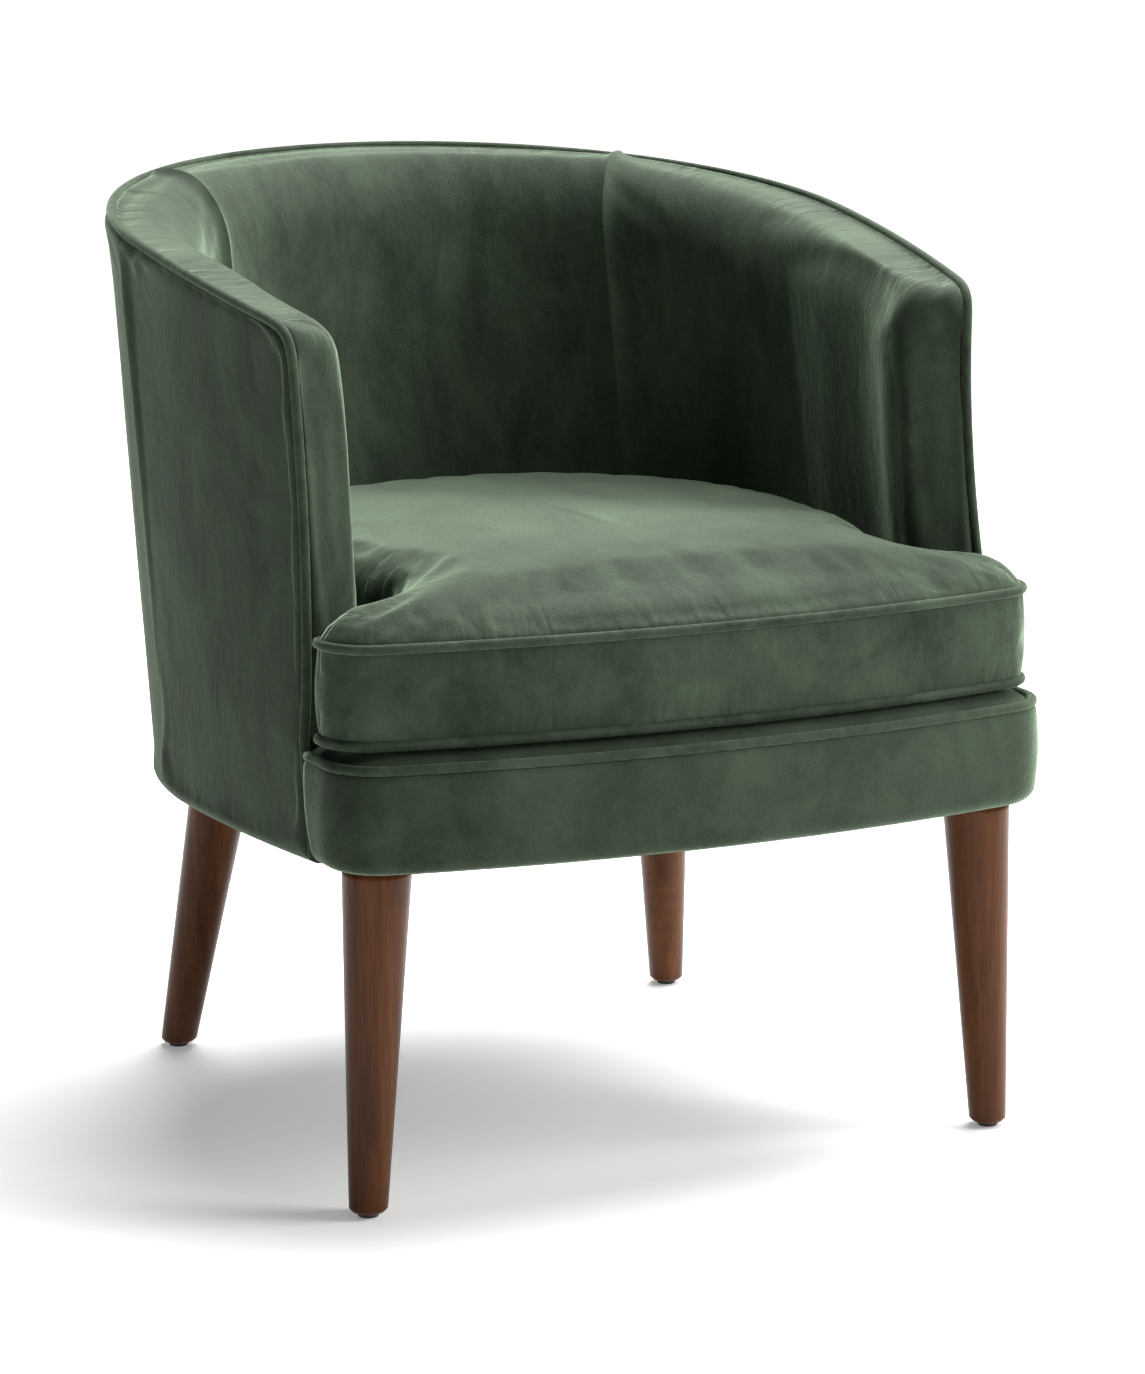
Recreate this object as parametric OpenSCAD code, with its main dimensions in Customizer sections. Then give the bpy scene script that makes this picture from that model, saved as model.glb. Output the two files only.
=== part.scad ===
// Tub chair: a U-shaped upholstered shell round a loose T-shaped seat cushion, on four turned legs.
// The chair faces -Y and stands on Z = 0, with the middle of its outline at X = 0, Y = 0.
// Left and right are as seen by someone who stands in front of the chair and faces it.

/* [Overall] */
// Depth from the front of the seat rail to the back of the rim
overall_depth = 768; // [740:1:800]
// Height of the rim piping at the middle of the back
rim_back_h = 781; // [750:1:820]
// Height of the rim piping at the front of the arms
rim_front_h = 695; // [670:1:715]
// Height of the lower edge of the covers above the floor
base_h = 283; // [265:1:300]

/* [Shell] */
// Plan radius of the back at the rim
rim_radius = 335; // [329:1:342]
// Plan radius of the back at the lower edge
base_radius = 337; // [331:1:343]
// Plan radius of the long curve of the arms
side_radius = 1500; // [1300:10:2000]
// How far the back leans to the rear between the lower edge and the rim
shell_rake = 100; // [85:1:112]
// Distance of the arm's front edge behind the seat rail's front, at the rim
arm_front_top = 161; // [152:1:171]
// Distance of the arm's front edge behind the seat rail's front, at the lower edge
arm_front_base = 100; // [94:1:108]
// How strongly the arm's front edge curves forward near its foot
front_lean = 1.5; // [1.2:0.1:1.9]
// How far the arm's front edge is drawn in, about halfway up
arm_waist = 10; // [8:0.5:11]
// Wall thickness of the padded back
wall_back = 75; // [71:1:82]
// Wall thickness at the top of the arm's front
wall_arm_top = 76; // [72:1:79]
// Wall thickness at the foot of the arm's front
wall_arm_base = 77; // [74:1:80]

/* [Padding] */
// Rise of the padded roll above the rim piping
roll_rise = 6; // [4:0.5:9]
// Distance of the roll's crest from the outside of the wall
roll_crest = 32; // [28:1:36]
// Depth below the rim at which the inside wall runs straight
roll_drop = 56; // [52:1:64]
// Thickness of the velvet with its wadding
cover_t = 2; // [1.6:0.1:2.4]
// Thickness of the lining board behind the outside cover
lining_t = 3; // [2.4:0.1:3.6]
// Thickness of the hessian linings
hessian_t = 1.2; // [1:0.1:1.6]
// Diameter of the piping
piping_d = 8; // [7:0.2:9]
// Radius at which the outside covers turn under at their lower edge
hem_radius = 12; // [10:0.5:14]
// Width of the strip of cover that is turned under the rails
hem_turn = 16; // [10:1:22]

/* [Seat] */
// Height of the wooden seat rails
rail_h = 75; // [68:1:82]
// Thickness of the bowed front rail
rail_t = 25; // [22:1:28]
// Corner radius of the seat rail's cover in plan
rail_corner = 50; // [46:1:54]
// Radius of the bowed front
rail_bow = 1400; // [1250:10:1700]
// Thickness of the platform pad under the cushion
deck_pad_t = 7; // [5:0.5:10]
// Distance between two zigzag springs
spring_space = 74; // [68:1:76]
// Diameter of the spring wire
wire_d = 3.6; // [3.2:0.1:4]
// Distance between two neighbouring bars of a spring, about
spring_pitch = 32; // [26:1:36]
// Length of the straight part of a spring's bars
spring_bar = 20; // [16:1:24]

/* [Cushion] */
// Width of the cushion over its wings
cushion_w = 632; // [618:1:636]
// How far the cushion's front lies behind the seat rail's front
cushion_setback = 18; // [12:1:24]
// Height between the lower and the upper piping
boxing_h = 76; // [68:1:84]
// Rise of the cushion's crown above the upper piping, towards the back
crown_back_h = 42; // [34:1:48]
// Rise of the cushion's crown above the upper piping, towards the front
crown_front_h = 58; // [46:1:62]
// Distance from the front and the wings' sides at which the crown has risen by half
crown_half = 20; // [16:1:26]
// Distance from any edge at which the crown has risen by half
edge_half = 8; // [6:1:11]
// Bulge of the boxing beyond the piping's middle
boxing_bulge = 3; // [1:0.5:4]
// Gap between the cushion and the padded walls
cushion_gap = 4; // [3:0.5:6]
// Radius of the cushion's front corners
cushion_corner = 44; // [40:1:47]
// Radius of the corners at the back of the wings
wing_corner = 14; // [12:1:17]
// Width of the zip's chain
zip_w = 6; // [5:0.5:7]
// Length of the zip's slider
slider_l = 14; // [11:1:18]

/* [Frame] */
// Height of the curved top rail
top_rail_h = 45; // [38:1:52]
// Thickness of the wood in the wall
frame_t = 22; // [20:0.5:23]
// Width of an upright
upright_w = 40; // [34:1:46]
// Width of the posts at the front of the arms
post_w = 45; // [40:1:52]
// Distance of the wood behind the rim and behind the arm's front edge
frame_setback = 12; // [11:0.5:14]
// Height of the corner blocks
block_h = 52; // [44:1:58]
// Reach of the front corner blocks along the rails
block_reach = 120; // [110:1:126]
// Thickness of the back corner blocks in plan
block_t = 52; // [46:1:60]

/* [Legs] */
// Diameter of the legs at the top
leg_top_d = 56; // [50:1:60]
// Diameter of the legs at the foot
leg_foot_d = 31; // [28:1:35]
// Chamfer round the foot of the legs
foot_chamfer = 3; // [2:0.5:4]
// Distance of the front feet in from the side of the seat rail's cover
front_foot_in = 35; // [31:1:41]
// Distance of the front legs' tops in from the side of the seat rail's cover
front_top_in = 48; // [46:1:51]
// Distance of the front feet behind the seat rail's front
front_foot_y = 72; // [68:1:80]
// Distance of the front legs' tops behind the seat rail's front
front_top_y = 79; // [74:1:84]
// Distance of the back feet outside the round of the lower edge
back_foot_out = 22; // [16:1:27]
// Distance of the back legs' tops inside the round of the lower edge
back_top_in = 35; // [31:1:39]
// Diameter of the glides
glide_d = 20; // [17:1:23]
// Height of the glides below the legs
glide_t = 4; // [3:0.5:5]
// Diameter of the bolt that holds a leg
bolt_d = 8; // [6:1:9]
// Length of the bolt inside the leg
bolt_in_leg = 40; // [32:1:46]

/* [Hidden] */

// Small gap at which two soft or wrapped pieces lie against each other
fit_gap = 0.3;
// Running gap between the loose cushion and what it lies on
rest_gap = 0.4;
// Clearance round a bolt, a nail or a wire
bore_gap = 0.2;
// Overrun of every cut
over = 1;
piping_r = piping_d / 2;
half_depth = overall_depth / 2;
rim_y = half_depth - rim_radius;
base_y = rim_y - shell_rake;
arm_reach_top = rim_y + half_depth - arm_front_top;
arm_reach_base = base_y + half_depth - arm_front_base;
rim_quarter = PI * rim_radius / 2;
rim_run = rim_quarter + arm_reach_top;
// Share of the roll's steps that lie outside its crest, and the power that makes it squarer inside it
crest_share = 0.4;
roll_power = 0.8;
// Place of the seams of the inside, and of the rail joints at the back legs, as a share of the quarter
seam_share = 0.5;

// Counts of flat steps: rings round a roll, stretches of an arm, stretches of the quarter round
roll_rings = 5;
arm_steps = 5;
round_steps = 10;
piping_sides = 8;
cushion_piping_sides = 6;

// Heights of the layers of the seat, from the frame upwards
rail_lift = 1;
rail_z = base_h + cover_t + rail_lift;
rail_top = rail_z + rail_h;
clip_t = 1.2;
wire_z = rail_top + clip_t + bore_gap + wire_d / 2;
clip_h = wire_d + 2 * bore_gap + 2 * clip_t;
seat_hessian_z = rail_top + clip_h + fit_gap;
deck_pad_z = seat_hessian_z + hessian_t + fit_gap;
deck_cloth_z = deck_pad_z + deck_pad_t + fit_gap;
deck_top = deck_cloth_z + cover_t;
cushion_z = deck_top + rest_gap;
seam_low_z = cushion_z + piping_r;
seam_high_z = seam_low_z + boxing_h;
border_top = rail_top + cover_t;
border_piping_z = border_top + piping_r;
dust_t = 1;
dust_z = base_h - fit_gap - dust_t;
leg_top_z = dust_z - fit_gap;
wall_low = deck_pad_z;

// Depths of the layers of the wall, from the outside inwards
lining_in = cover_t + fit_gap;
wood_in = lining_in + lining_t + 2 * fit_gap;
wood_out = wood_in + frame_t;
wall_hessian_in = wood_out + 2 * fit_gap;
foam_in = wall_hessian_in + hessian_t + 2 * fit_gap;
roll_start = piping_d + fit_gap;
border_pad_t = 6.4;
border_wood_in = lining_in + border_pad_t + fit_gap;
rail_inner = border_wood_in + rail_t;

VELVET = [0.24, 0.32, 0.27];
PIPING = [0.20, 0.28, 0.23];
WALNUT = [0.34, 0.20, 0.13];
BEECH = [0.78, 0.63, 0.44];
FOAM = [0.88, 0.85, 0.74];
HESSIAN = [0.66, 0.55, 0.38];
BLACK = [0.10, 0.10, 0.11];
STEEL = [0.62, 0.63, 0.65];

function mix(a, b, t) = a + (b - a) * t;
function clamp(t, low, high) = min(max(t, low), high);
function ease(t) = t * t * (3 - 2 * t);
function unit(v) = v / norm(v);
function level(p) = [p[0], p[1]];
function flip(p) = [for (i = [0 : len(p) - 1]) i == 0 ? -p[0] : p[i]];
function flat(lists) = [for (l = lists) each l];
function reversed(l) = [for (i = [len(l) - 1 : -1 : 0]) l[i]];

// The wall. q runs from 0 at the middle of the back through 1, where the round ends, to 2 at the arm's
// front edge. z is the height and d the depth from the wall's outer face inwards.
function rim_share(q) =
    1 - (abs(q) <= 1 ? abs(q) * rim_quarter : rim_quarter + (abs(q) - 1) * arm_reach_top) / rim_run;
function rim_z(q) = mix(rim_front_h, rim_back_h, sin(90 * rim_share(q)));
function height_share(q, z) = (z - base_h) / (rim_z(q) - base_h);
function arc_r(v) = mix(base_radius, rim_radius, v);
function arc_y(v) = mix(base_y, rim_y, v);
function lean_share(v) = v < 0 ? v * front_lean : 1 - pow(1 - min(v, 1), front_lean);
function front_y(v) = mix(base_y - arm_reach_base, rim_y - arm_reach_top, lean_share(v));
function arm_reach(v) = arc_y(v) - front_y(v);
// The waist of the arm's front edge. All layers of the wall have rows at these shares of its height and
// run straight between them. The last share is the rim.
level_shares = [0.24, 0.36, 0.48, 0.6, 0.72, 0.84, 1];
waist_power = 0.7;
waist_low_share = level_shares[0];
waist_shares = [for (v = level_shares)
    [v, pow(sin(180 * (v - waist_low_share) / (1 - waist_low_share)), waist_power)]];
function waist(t, v) = arm_waist * pow(clamp(t, 0, 1), 2) * lookup(v, waist_shares);
wall_rows = len(level_shares);
function row_z(rim, j, e_top, z_low) =
    j == 0 ? rim - e_top : j == wall_rows ? z_low : mix(base_h, rim, level_shares[wall_rows - 1 - j]);
function wall_pt(q, z, d) =
    let (a = abs(q), v = height_share(q, z), r = arc_r(v), y = arc_y(v))
    a <= 1
        ? [sign(q) * (r - d) * sin(90 * a), y + (r - d) * cos(90 * a), z]
        : let (turn = asin((a - 1) * arm_reach(v) / side_radius))
          [sign(q) * (r - side_radius + (side_radius - d) * cos(turn) - waist(a - 1, v)),
           y - (side_radius - d) * sin(turn), z];
// The same on the flat steps of the round, so that what lies against them lies flat
function facet_pt(q, z, d) =
    let (low = floor(abs(q) * round_steps) / round_steps)
    abs(q) >= 1
        ? wall_pt(q, z, d)
        : mix(wall_pt(sign(q) * low, z, d), wall_pt(sign(q) * (low + 1 / round_steps), z, d),
              (abs(q) - low) * round_steps);
function wall_share(q, v) =
    mix(wall_back, mix(wall_arm_base, wall_arm_top, clamp(v, 0, 1)), ease(clamp(abs(q) - 1, 0, 1)));
function wall_t(q, z) = wall_share(q, height_share(q, z));
// Height of the arm's front at a share of its height, and the place q behind its front edge
function arm_share(z) = (z - base_h) / (rim_front_h - base_h);
function behind_front(e, z) = 2 - e / arm_reach(arm_share(z));
// The places q of the columns of a sheet or a rail, from one behind the arm's front to another
function run_to(q_front, q_end) =
    concat([for (i = [0 : arm_steps - 1]) mix(q_front, 1, i / arm_steps)],
           let (n = ceil(round_steps * (1 - q_end))) [for (i = [0 : n]) mix(1, q_end, i / n)]);
function run_round(q_front) =
    let (half = run_to(q_front, 0)) concat(half, [for (i = [len(half) - 2 : -1 : 0]) -half[i]]);

// A sheet over the wall: i counts columns from the arm's front and j rows from the rim. The first
// roll_rings of both are rings that go round the edge and its corner, and profile gives the distance
// from the edge and the depth of each ring. The corner is an ellipse with a high exponent.
corner_power = 6;
function sheet_pt(i, j, profile, q_end, z_low) =
    let (k = roll_rings,
         m = min(i, j, k),
         px = m == k ? 0 : max(k - i, 0) / (k - m),
         py = m == k ? 0 : max(k - j, 0) / (k - m),
         curve = px + py == 0 ? 1 : pow(pow(px, corner_power) + pow(py, corner_power), 1 / corner_power),
         swing = roll_drop - profile(m / k, wall_back)[0],
         e_top = roll_drop - swing * py / curve,
         row = max(j - k, 0),
         v = arm_share(row_z(rim_front_h, row, e_top, z_low)),
         q_front = 2 - (roll_drop - swing * px / curve) / arm_reach(v),
         q = run_to(q_front, q_end)[max(i - k, 0)],
         z = row_z(rim_z(q), row, e_top, z_low))
    wall_pt(q, z, profile(m / k, wall_t(q, z))[1]);
function sheet(profile, q_end, z_low) =
    let (columns = roll_rings + len(run_to(2, q_end)) - 1)
    [for (i = [0 : columns])
        [for (j = [0 : roll_rings + wall_rows]) sheet_pt(i, j, profile, q_end, z_low)]];
// Both arms in one sheet, from the right front round the back to the left front
function mirrored_sheet(half) =
    concat(half, [for (i = [len(half) - 2 : -1 : 0]) [for (p = half[i]) flip(p)]]);
// The part of the inside between the two seams
function back_sheet(profile, q_end, z_low) =
    let (n = 2 * ceil(round_steps * q_end))
    [for (i = [0 : n])
        let (q = mix(q_end, -q_end, i / n))
        [for (j = [0 : roll_rings + wall_rows])
            let (w = min(j / roll_rings, 1),
                 e = profile(w, wall_back)[0],
                 z = row_z(rim_z(q), max(j - roll_rings, 0), e, z_low))
            wall_pt(q, z, profile(w, wall_t(q, z))[1])]];

// The padded roll, sunk by s below the velvet's face
function roll_profile(s) = function(w, t)
    w < crest_share
        ? let (a = 90 * w / crest_share)
          [s - roll_rise * sin(a), roll_crest - (roll_crest - roll_start - s) * cos(a)]
        : let (a = 90 * (w - crest_share) / (1 - crest_share))
          [mix(roll_drop, s - roll_rise, pow(cos(a), roll_power)),
           roll_crest + (t - s - roll_crest) * pow(sin(a), roll_power)];
// The bed of the padding: over the top of the wood and down its inner side
function bed_profile() = function(w, t)
    w < crest_share
        ? [frame_setback - fit_gap, mix(roll_start + lining_in, foam_in, w / crest_share)]
        : [mix(frame_setback - fit_gap, roll_drop, (w - crest_share) / (1 - crest_share)), foam_in];
// A sheet at one depth that begins at a distance from the rim
function plain_profile(e, d) = function(w, t) [mix(e, roll_drop, w), d];

// A closed solid between two sheets of points; a is the one that faces the sitter
module slab(a, b) {
    nu = len(a);
    nv = len(a[0]);
    function id(s, i, j) = (s * nu + i) * nv + j;
    faces = concat(
        flat([for (i = [0 : nu - 2], j = [0 : nv - 2]) [
            [id(0, i, j), id(0, i + 1, j + 1), id(0, i + 1, j)],
            [id(0, i, j), id(0, i, j + 1), id(0, i + 1, j + 1)],
            [id(1, i, j), id(1, i + 1, j), id(1, i + 1, j + 1)],
            [id(1, i, j), id(1, i + 1, j + 1), id(1, i, j + 1)]]]),
        flat([for (i = [0 : nu - 2]) [
            [id(0, i, 0), id(0, i + 1, 0), id(1, i + 1, 0)],
            [id(0, i, 0), id(1, i + 1, 0), id(1, i, 0)],
            [id(0, i + 1, nv - 1), id(0, i, nv - 1), id(1, i, nv - 1)],
            [id(0, i + 1, nv - 1), id(1, i, nv - 1), id(1, i + 1, nv - 1)]]]),
        flat([for (j = [0 : nv - 2]) [
            [id(0, 0, j + 1), id(0, 0, j), id(1, 0, j)],
            [id(0, 0, j + 1), id(1, 0, j), id(1, 0, j + 1)],
            [id(0, nu - 1, j), id(0, nu - 1, j + 1), id(1, nu - 1, j + 1)],
            [id(0, nu - 1, j), id(1, nu - 1, j + 1), id(1, nu - 1, j)]]]));
    polyhedron(points = concat(flat(a), flat(b)), faces = faces, convexity = 10);
}

// A piece that follows the wall: run gives the places q at a height, levels the heights from the top
// down at a place, and outer and inner the depths at those heights.
module wall_piece(run, levels, outer, inner) {
    function layer(depths) =
        let (plan = run(rim_front_h))
        [for (i = [0 : len(plan) - 1])
            let (zs = levels(plan[i]))
            [for (j = [0 : len(zs) - 1]) facet_pt(run(zs[j])[i], zs[j], depths[j])]];
    slab(layer(inner), layer(outer));
}

// A tube along a path of places, each with a direction that is square to the path
module tube(path, sides, closed) {
    n = len(path);
    rings = [for (k = [0 : n - 1])
        let (before = path[closed ? (k + n - 1) % n : max(k - 1, 0)][0],
             after = path[closed ? (k + 1) % n : min(k + 1, n - 1)][0],
             t = unit(after - before),
             u = unit(path[k][1] - (path[k][1] * t) * t),
             w = cross(t, u))
        [for (s = [0 : sides - 1])
            path[k][0] + piping_r * (cos(360 * s / sides) * u + sin(360 * s / sides) * w)]];
    faces = concat(
        flat([for (k = [0 : closed ? n - 1 : n - 2], s = [0 : sides - 1])
            let (a = k * sides, b = (k + 1) % n * sides, s1 = (s + 1) % sides)
            [[a + s, b + s, b + s1], [a + s, b + s1, a + s1]]]),
        closed ? [] : [[for (s = [0 : sides - 1]) s],
                       [for (s = [sides - 1 : -1 : 0]) (n - 1) * sides + s]]);
    polyhedron(points = flat(rings), faces = faces, convexity = 10);
}

// Plan of the bowed front, set in by d: from the middle of the front to the end of its right side
border_half = wall_pt(2, rail_z, 0)[0];
function bow_y(x, d) = rail_bow - half_depth - sqrt(pow(rail_bow - d, 2) - x * x);
function front_plan(d, half, front, corner, steps, y_end) =
    let (x = half - corner,
         reach = rail_bow - corner,
         cy = front + rail_bow - sqrt(reach * reach - x * x),
         turn = asin(x / reach))
    concat(
        [for (i = [0 : steps - 1]) [(rail_bow - d) * sin(turn * i / steps),
                                    front + rail_bow - (rail_bow - d) * cos(turn * i / steps)]],
        [for (i = [0 : steps])
            let (a = mix(turn, 90, i / steps)) [x + (corner - d) * sin(a), cy - (corner - d) * cos(a)]],
        y_end <= cy ? [] : [[half - d, y_end]]);
border_steps = 6;
function border_plan(d, y_end) =
    front_plan(d, border_half, -half_depth, rail_corner, border_steps, y_end);
function left_and(half) = concat([for (i = [len(half) - 1 : -1 : 1]) flip(half[i])], half);
// Right half of a plan that goes round inside the wall at a height and a list of depths
function inside_wall(z, q_front, depth) = [for (q = run_to(q_front, 0)) level(wall_pt(q, z, depth(q)))];

// Plan of the loose cushion, set in by d, from the front middle round to the back middle
function cushion_share(z) = (z - base_h) / (rim_back_h - base_h);
cushion_y = arc_y(cushion_share(cushion_z));
cushion_r = arc_r(cushion_share(seam_high_z)) - wall_back - cushion_gap;
wing_y = front_y(arm_share(cushion_z)) - roll_rise - cushion_gap;
function inner_x(y, v) =
    let (l = arc_y(v) - y)
    l < 0
        ? sqrt(pow(arc_r(v) - wall_back, 2) - l * l)
        : arc_r(v) - side_radius + sqrt(side_radius * side_radius - l * l)
          - wall_share(1 + l / arm_reach(v), v) - waist(l / arm_reach(v), v);
// The cushion's sides stay clear of the walls at these shares of the height that it is lifted through
lift_shares = [0, 0.25, 0.5, 0.75, 1];
function cushion_side(y) =
    min([for (t = lift_shares) inner_x(y, arm_share(mix(seam_low_z, rim_front_h - roll_drop, t)))])
    - cushion_gap;
// Flat steps of a quarter of a small corner, and of the long stretches
corner_steps = 2;
cushion_steps = 4;
back_steps = 8;
zip_steps = 3;
function cushion_front(d) =
    front_plan(d, cushion_w / 2, cushion_setback - half_depth, cushion_corner, cushion_steps, -half_depth);
// How far the wings' back edges slope forward from the notches to their outer corners, and the least
// length that each wing's side keeps between its two corners
wing_slope = 1.5;
wing_side = 1.5;
function cushion_plan(d) =
    let (front = cushion_front(d),
         wing_x = cushion_w / 2 - wing_corner,
         wing_back = wing_y - wing_slope,
         wing_start = max(wing_back - wing_corner, front[len(front) - 1][1] + wing_side),
         notch_r = wing_corner / 2 + d,
         notch_y = wing_y - d + notch_r,
         notch_x = cushion_side(notch_y) - d + notch_r,
         quarter = [for (i = [0 : corner_steps]) 90 * i / corner_steps])
    concat(
        front,
        [for (a = quarter) [wing_x + (wing_corner - d) * cos(a),
                            wing_start + (wing_back - d - wing_start) * sin(a)]],
        [for (a = quarter) [notch_x - notch_r * sin(a), notch_y - notch_r * cos(a)]],
        [for (i = [1 : cushion_steps])
            let (y = mix(notch_y, cushion_y, i / cushion_steps)) [cushion_side(y) - d, y]],
        [for (i = [1 : back_steps])
            let (a = 90 * (1 - i / back_steps), y = cushion_y + (cushion_r - d) * cos(a))
            [min((cushion_r - d) * sin(a), cushion_side(y) - d), y]]);
function whole_plan(half) = concat(half, [for (i = [len(half) - 2 : -1 : 1]) flip(half[i])]);

// The crown, by the distances from the front, the sides and the edge. It is higher towards the front.
// The rings shrink towards a line along the middle.
ring_shares = [0, 0.05, 0.12, 0.22, 0.35, 0.52, 0.72, 0.92];
function risen(e, half) = 1 - pow(1 / 2, max(e, 0) / half);
function crown_rise(p, plan) =
    mix(crown_front_h, crown_back_h, clamp((p[1] - wing_y) / (cushion_y + cushion_r - wing_y), 0, 1))
    * risen(cushion_w / 2 - abs(p[0]), crown_half)
    * risen(p[1] - cushion_setback - bow_y(p[0], 0), crown_half)
    * risen(edge_distance(p, plan), edge_half);
function spine(p) =
    let (edge = wing_y - panel_inset, t = clamp((p[1] - edge) / (cushion_y - edge), 0, 1))
    [0, mix(wing_y - 2 * wing_corner, cushion_y, t)];
function segment_distance(p, a, b) =
    let (t = clamp((p - a) * (b - a) / ((b - a) * (b - a)), 0, 1)) norm(p - a - t * (b - a));
function edge_distance(p, plan) =
    min([for (i = [0 : len(plan) - 1]) segment_distance(p, plan[i], plan[(i + 1) % len(plan)])]);
function crown_ring(plan, share, z) =
    [for (p = plan)
        let (c = mix(p, spine(p), share)) [c[0], c[1], z + crown_rise(c, plan)]];
function level_ring(plan, z) = [for (p = plan) [p[0], p[1], z]];

// A closed solid through rings that each go once round the middle line, as a profile drawn upwards
// on its outer side. Its two ends are closed by strips across the middle line. The first bands, as
// many as turned says, are cut along their other diagonal, to lie parallel to a piece below.
module ringed(rings, turned = 0) {
    n = len(rings[0]);
    last = len(rings) - 1;
    function cap(base, up) = flat([for (k = [0 : n / 2 - 1])
        let (a = base + k, b = base + k + 1, c = base + (n - k - 1) % n, d = base + (n - k) % n)
        concat(b == c ? [] : [up ? [a, c, b] : [a, b, c]], a == d ? [] : [up ? [a, d, c] : [a, c, d]])]);
    faces = concat(
        cap(0, false), cap(last * n, true),
        flat([for (k = [0 : last - 1], s = [0 : n - 1])
            let (a = k * n, b = (k + 1) * n, s1 = (s + 1) % n)
            k < turned
                ? [[a + s, b + s, a + s1], [b + s, b + s1, a + s1]]
                : [[a + s, b + s, b + s1], [a + s, b + s1, a + s1]]]));
    polyhedron(points = flat(rings), faces = faces, convexity = 10);
}

// Legs: the foot and the top of each in plan, and the bolt that goes up from its top. The back legs
// stand on the round of the lower edge.
front_leg = [[border_half - front_foot_in, front_foot_y - half_depth],
             [border_half - front_top_in, front_top_y - half_depth]];
back_foot_share = 0.4775;
back_top_share = 0.4955;
function round_pt(share, r) = [r * sin(90 * share), base_y + r * cos(90 * share)];
back_leg = [round_pt(back_foot_share, base_radius + back_foot_out),
            round_pt(back_top_share, base_radius - back_top_in)];
back_bolt_inset = 13;
front_bolt = front_leg[1];
back_bolt = back_leg[1] - back_bolt_inset * unit(back_leg[1] - [0, base_y]);
bolt_bore = bolt_d + 2 * bore_gap;
nut_wall = 1.5;
nut_d = bolt_bore + 2 * nut_wall;
nut_h = 12;
nut_flange_d = 21;
nut_flange_t = 1.5;
block_top = rail_z + block_h;
nail_d = 2.4;
nail_l = 14;
// Turn of each leg about its own axis
leg_seam = 90;

module turned_leg(place, bolt) {
    foot = [place[0][0], place[0][1], glide_t];
    top = [place[1][0], place[1][1], leg_top_z];
    long = norm(top - foot);
    taper = (leg_top_d - leg_foot_d) / long;
    lean = acos((top[2] - foot[2]) / long);
    turn = atan2(top[1] - foot[1], top[0] - foot[0]);
    color(WALNUT) difference() {
        intersection() {
            translate(foot) rotate([0, lean, turn]) rotate([0, 0, leg_seam]) translate([0, 0, -leg_foot_d])
                cylinder(h = long + leg_foot_d + leg_top_d, d1 = leg_foot_d - taper * leg_foot_d,
                    d2 = leg_top_d + taper * leg_top_d, $fn = 64);
            translate(foot) {
                cylinder(h = foot_chamfer, d1 = leg_foot_d - 2 * foot_chamfer,
                    d2 = leg_foot_d + foot_chamfer, $fn = 64);
                translate([0, 0, foot_chamfer])
                    cylinder(h = top[2] - foot[2] - foot_chamfer, r = leg_top_d * 2, $fn = 64);
            }
        }
        translate([bolt[0], bolt[1], leg_top_z - bolt_in_leg])
            cylinder(h = bolt_in_leg + over, d = bolt_bore, $fn = 48);
        translate([foot[0], foot[1], glide_t - over])
            cylinder(h = nail_l + fit_gap + over, d = nail_d + 2 * bore_gap, $fn = 24);
    }
}

module glide(place) {
    color(BLACK) translate([place[0][0], place[0][1], 0]) {
        cylinder(h = glide_t, d1 = glide_d - glide_t, d2 = glide_d, $fn = 48);
        cylinder(h = glide_t + nail_l, d = nail_d, $fn = 24);
    }
}

module leg_front_right() { turned_leg(front_leg, front_bolt); }
module leg_front_left() { mirror([1, 0, 0]) leg_front_right(); }
module leg_back_right() { turned_leg(back_leg, back_bolt); }
module leg_back_left() { mirror([1, 0, 0]) leg_back_right(); }
module glide_front_right() { glide(front_leg); }
module glide_front_left() { mirror([1, 0, 0]) glide_front_right(); }
module glide_back_right() { glide(back_leg); }
module glide_back_left() { mirror([1, 0, 0]) glide_back_right(); }

module at_bolts() {
    for (side = [0, 1], bolt = [front_bolt, back_bolt])
        mirror([side, 0, 0]) translate([bolt[0], bolt[1], 0]) children();
}

module leg_bolts() {
    color(STEEL) at_bolts() translate([0, 0, leg_top_z - bolt_in_leg + fit_gap])
        cylinder(h = block_top - leg_top_z + bolt_in_leg - fit_gap, d = bolt_d, $fn = 48);
}

module t_nuts() {
    color(STEEL) at_bolts() difference() {
        union() {
            translate([0, 0, block_top - nut_h]) cylinder(h = nut_h, d = nut_d, $fn = 48);
            translate([0, 0, block_top]) cylinder(h = nut_flange_t, d = nut_flange_d, $fn = 48);
        }
        translate([0, 0, block_top - nut_h - over])
            cylinder(h = nut_h + nut_flange_t + 2 * over, d = bolt_bore, $fn = 48);
    }
}

// Frame. The front rail is bowed and turns back at its ends, where the side rails meet it.
rail_joint_y = front_y(arm_share(rail_top)) + frame_setback;
function joint_q(z) =
    let (v = arm_share(z)) 1 + (arc_y(v) - rail_joint_y - fit_gap) / arm_reach(v);

module front_rail() {
    color(BEECH) difference() {
        translate([0, 0, rail_z]) linear_extrude(rail_h)
            polygon(left_and(border_plan(border_wood_in, rail_joint_y)));
        translate([0, 0, rail_z - over]) linear_extrude(rail_h + 2 * over)
            polygon(left_and(border_plan(rail_inner, rail_joint_y + over)));
    }
}

// The lower outer edge of the rails at the sides and back is eased, so that the cover turns under
rail_edge = 8;
function rail_levels() = function(q) [rail_top, rail_z + rail_edge, rail_z];
rail_outer = [wood_in, wood_in, wood_in + rail_edge];
rail_inside = [rail_inner, rail_inner, rail_inner];
// Half of the gap of a joint in the wall, as a share of the quarter round
joint_share = fit_gap / base_radius;

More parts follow.
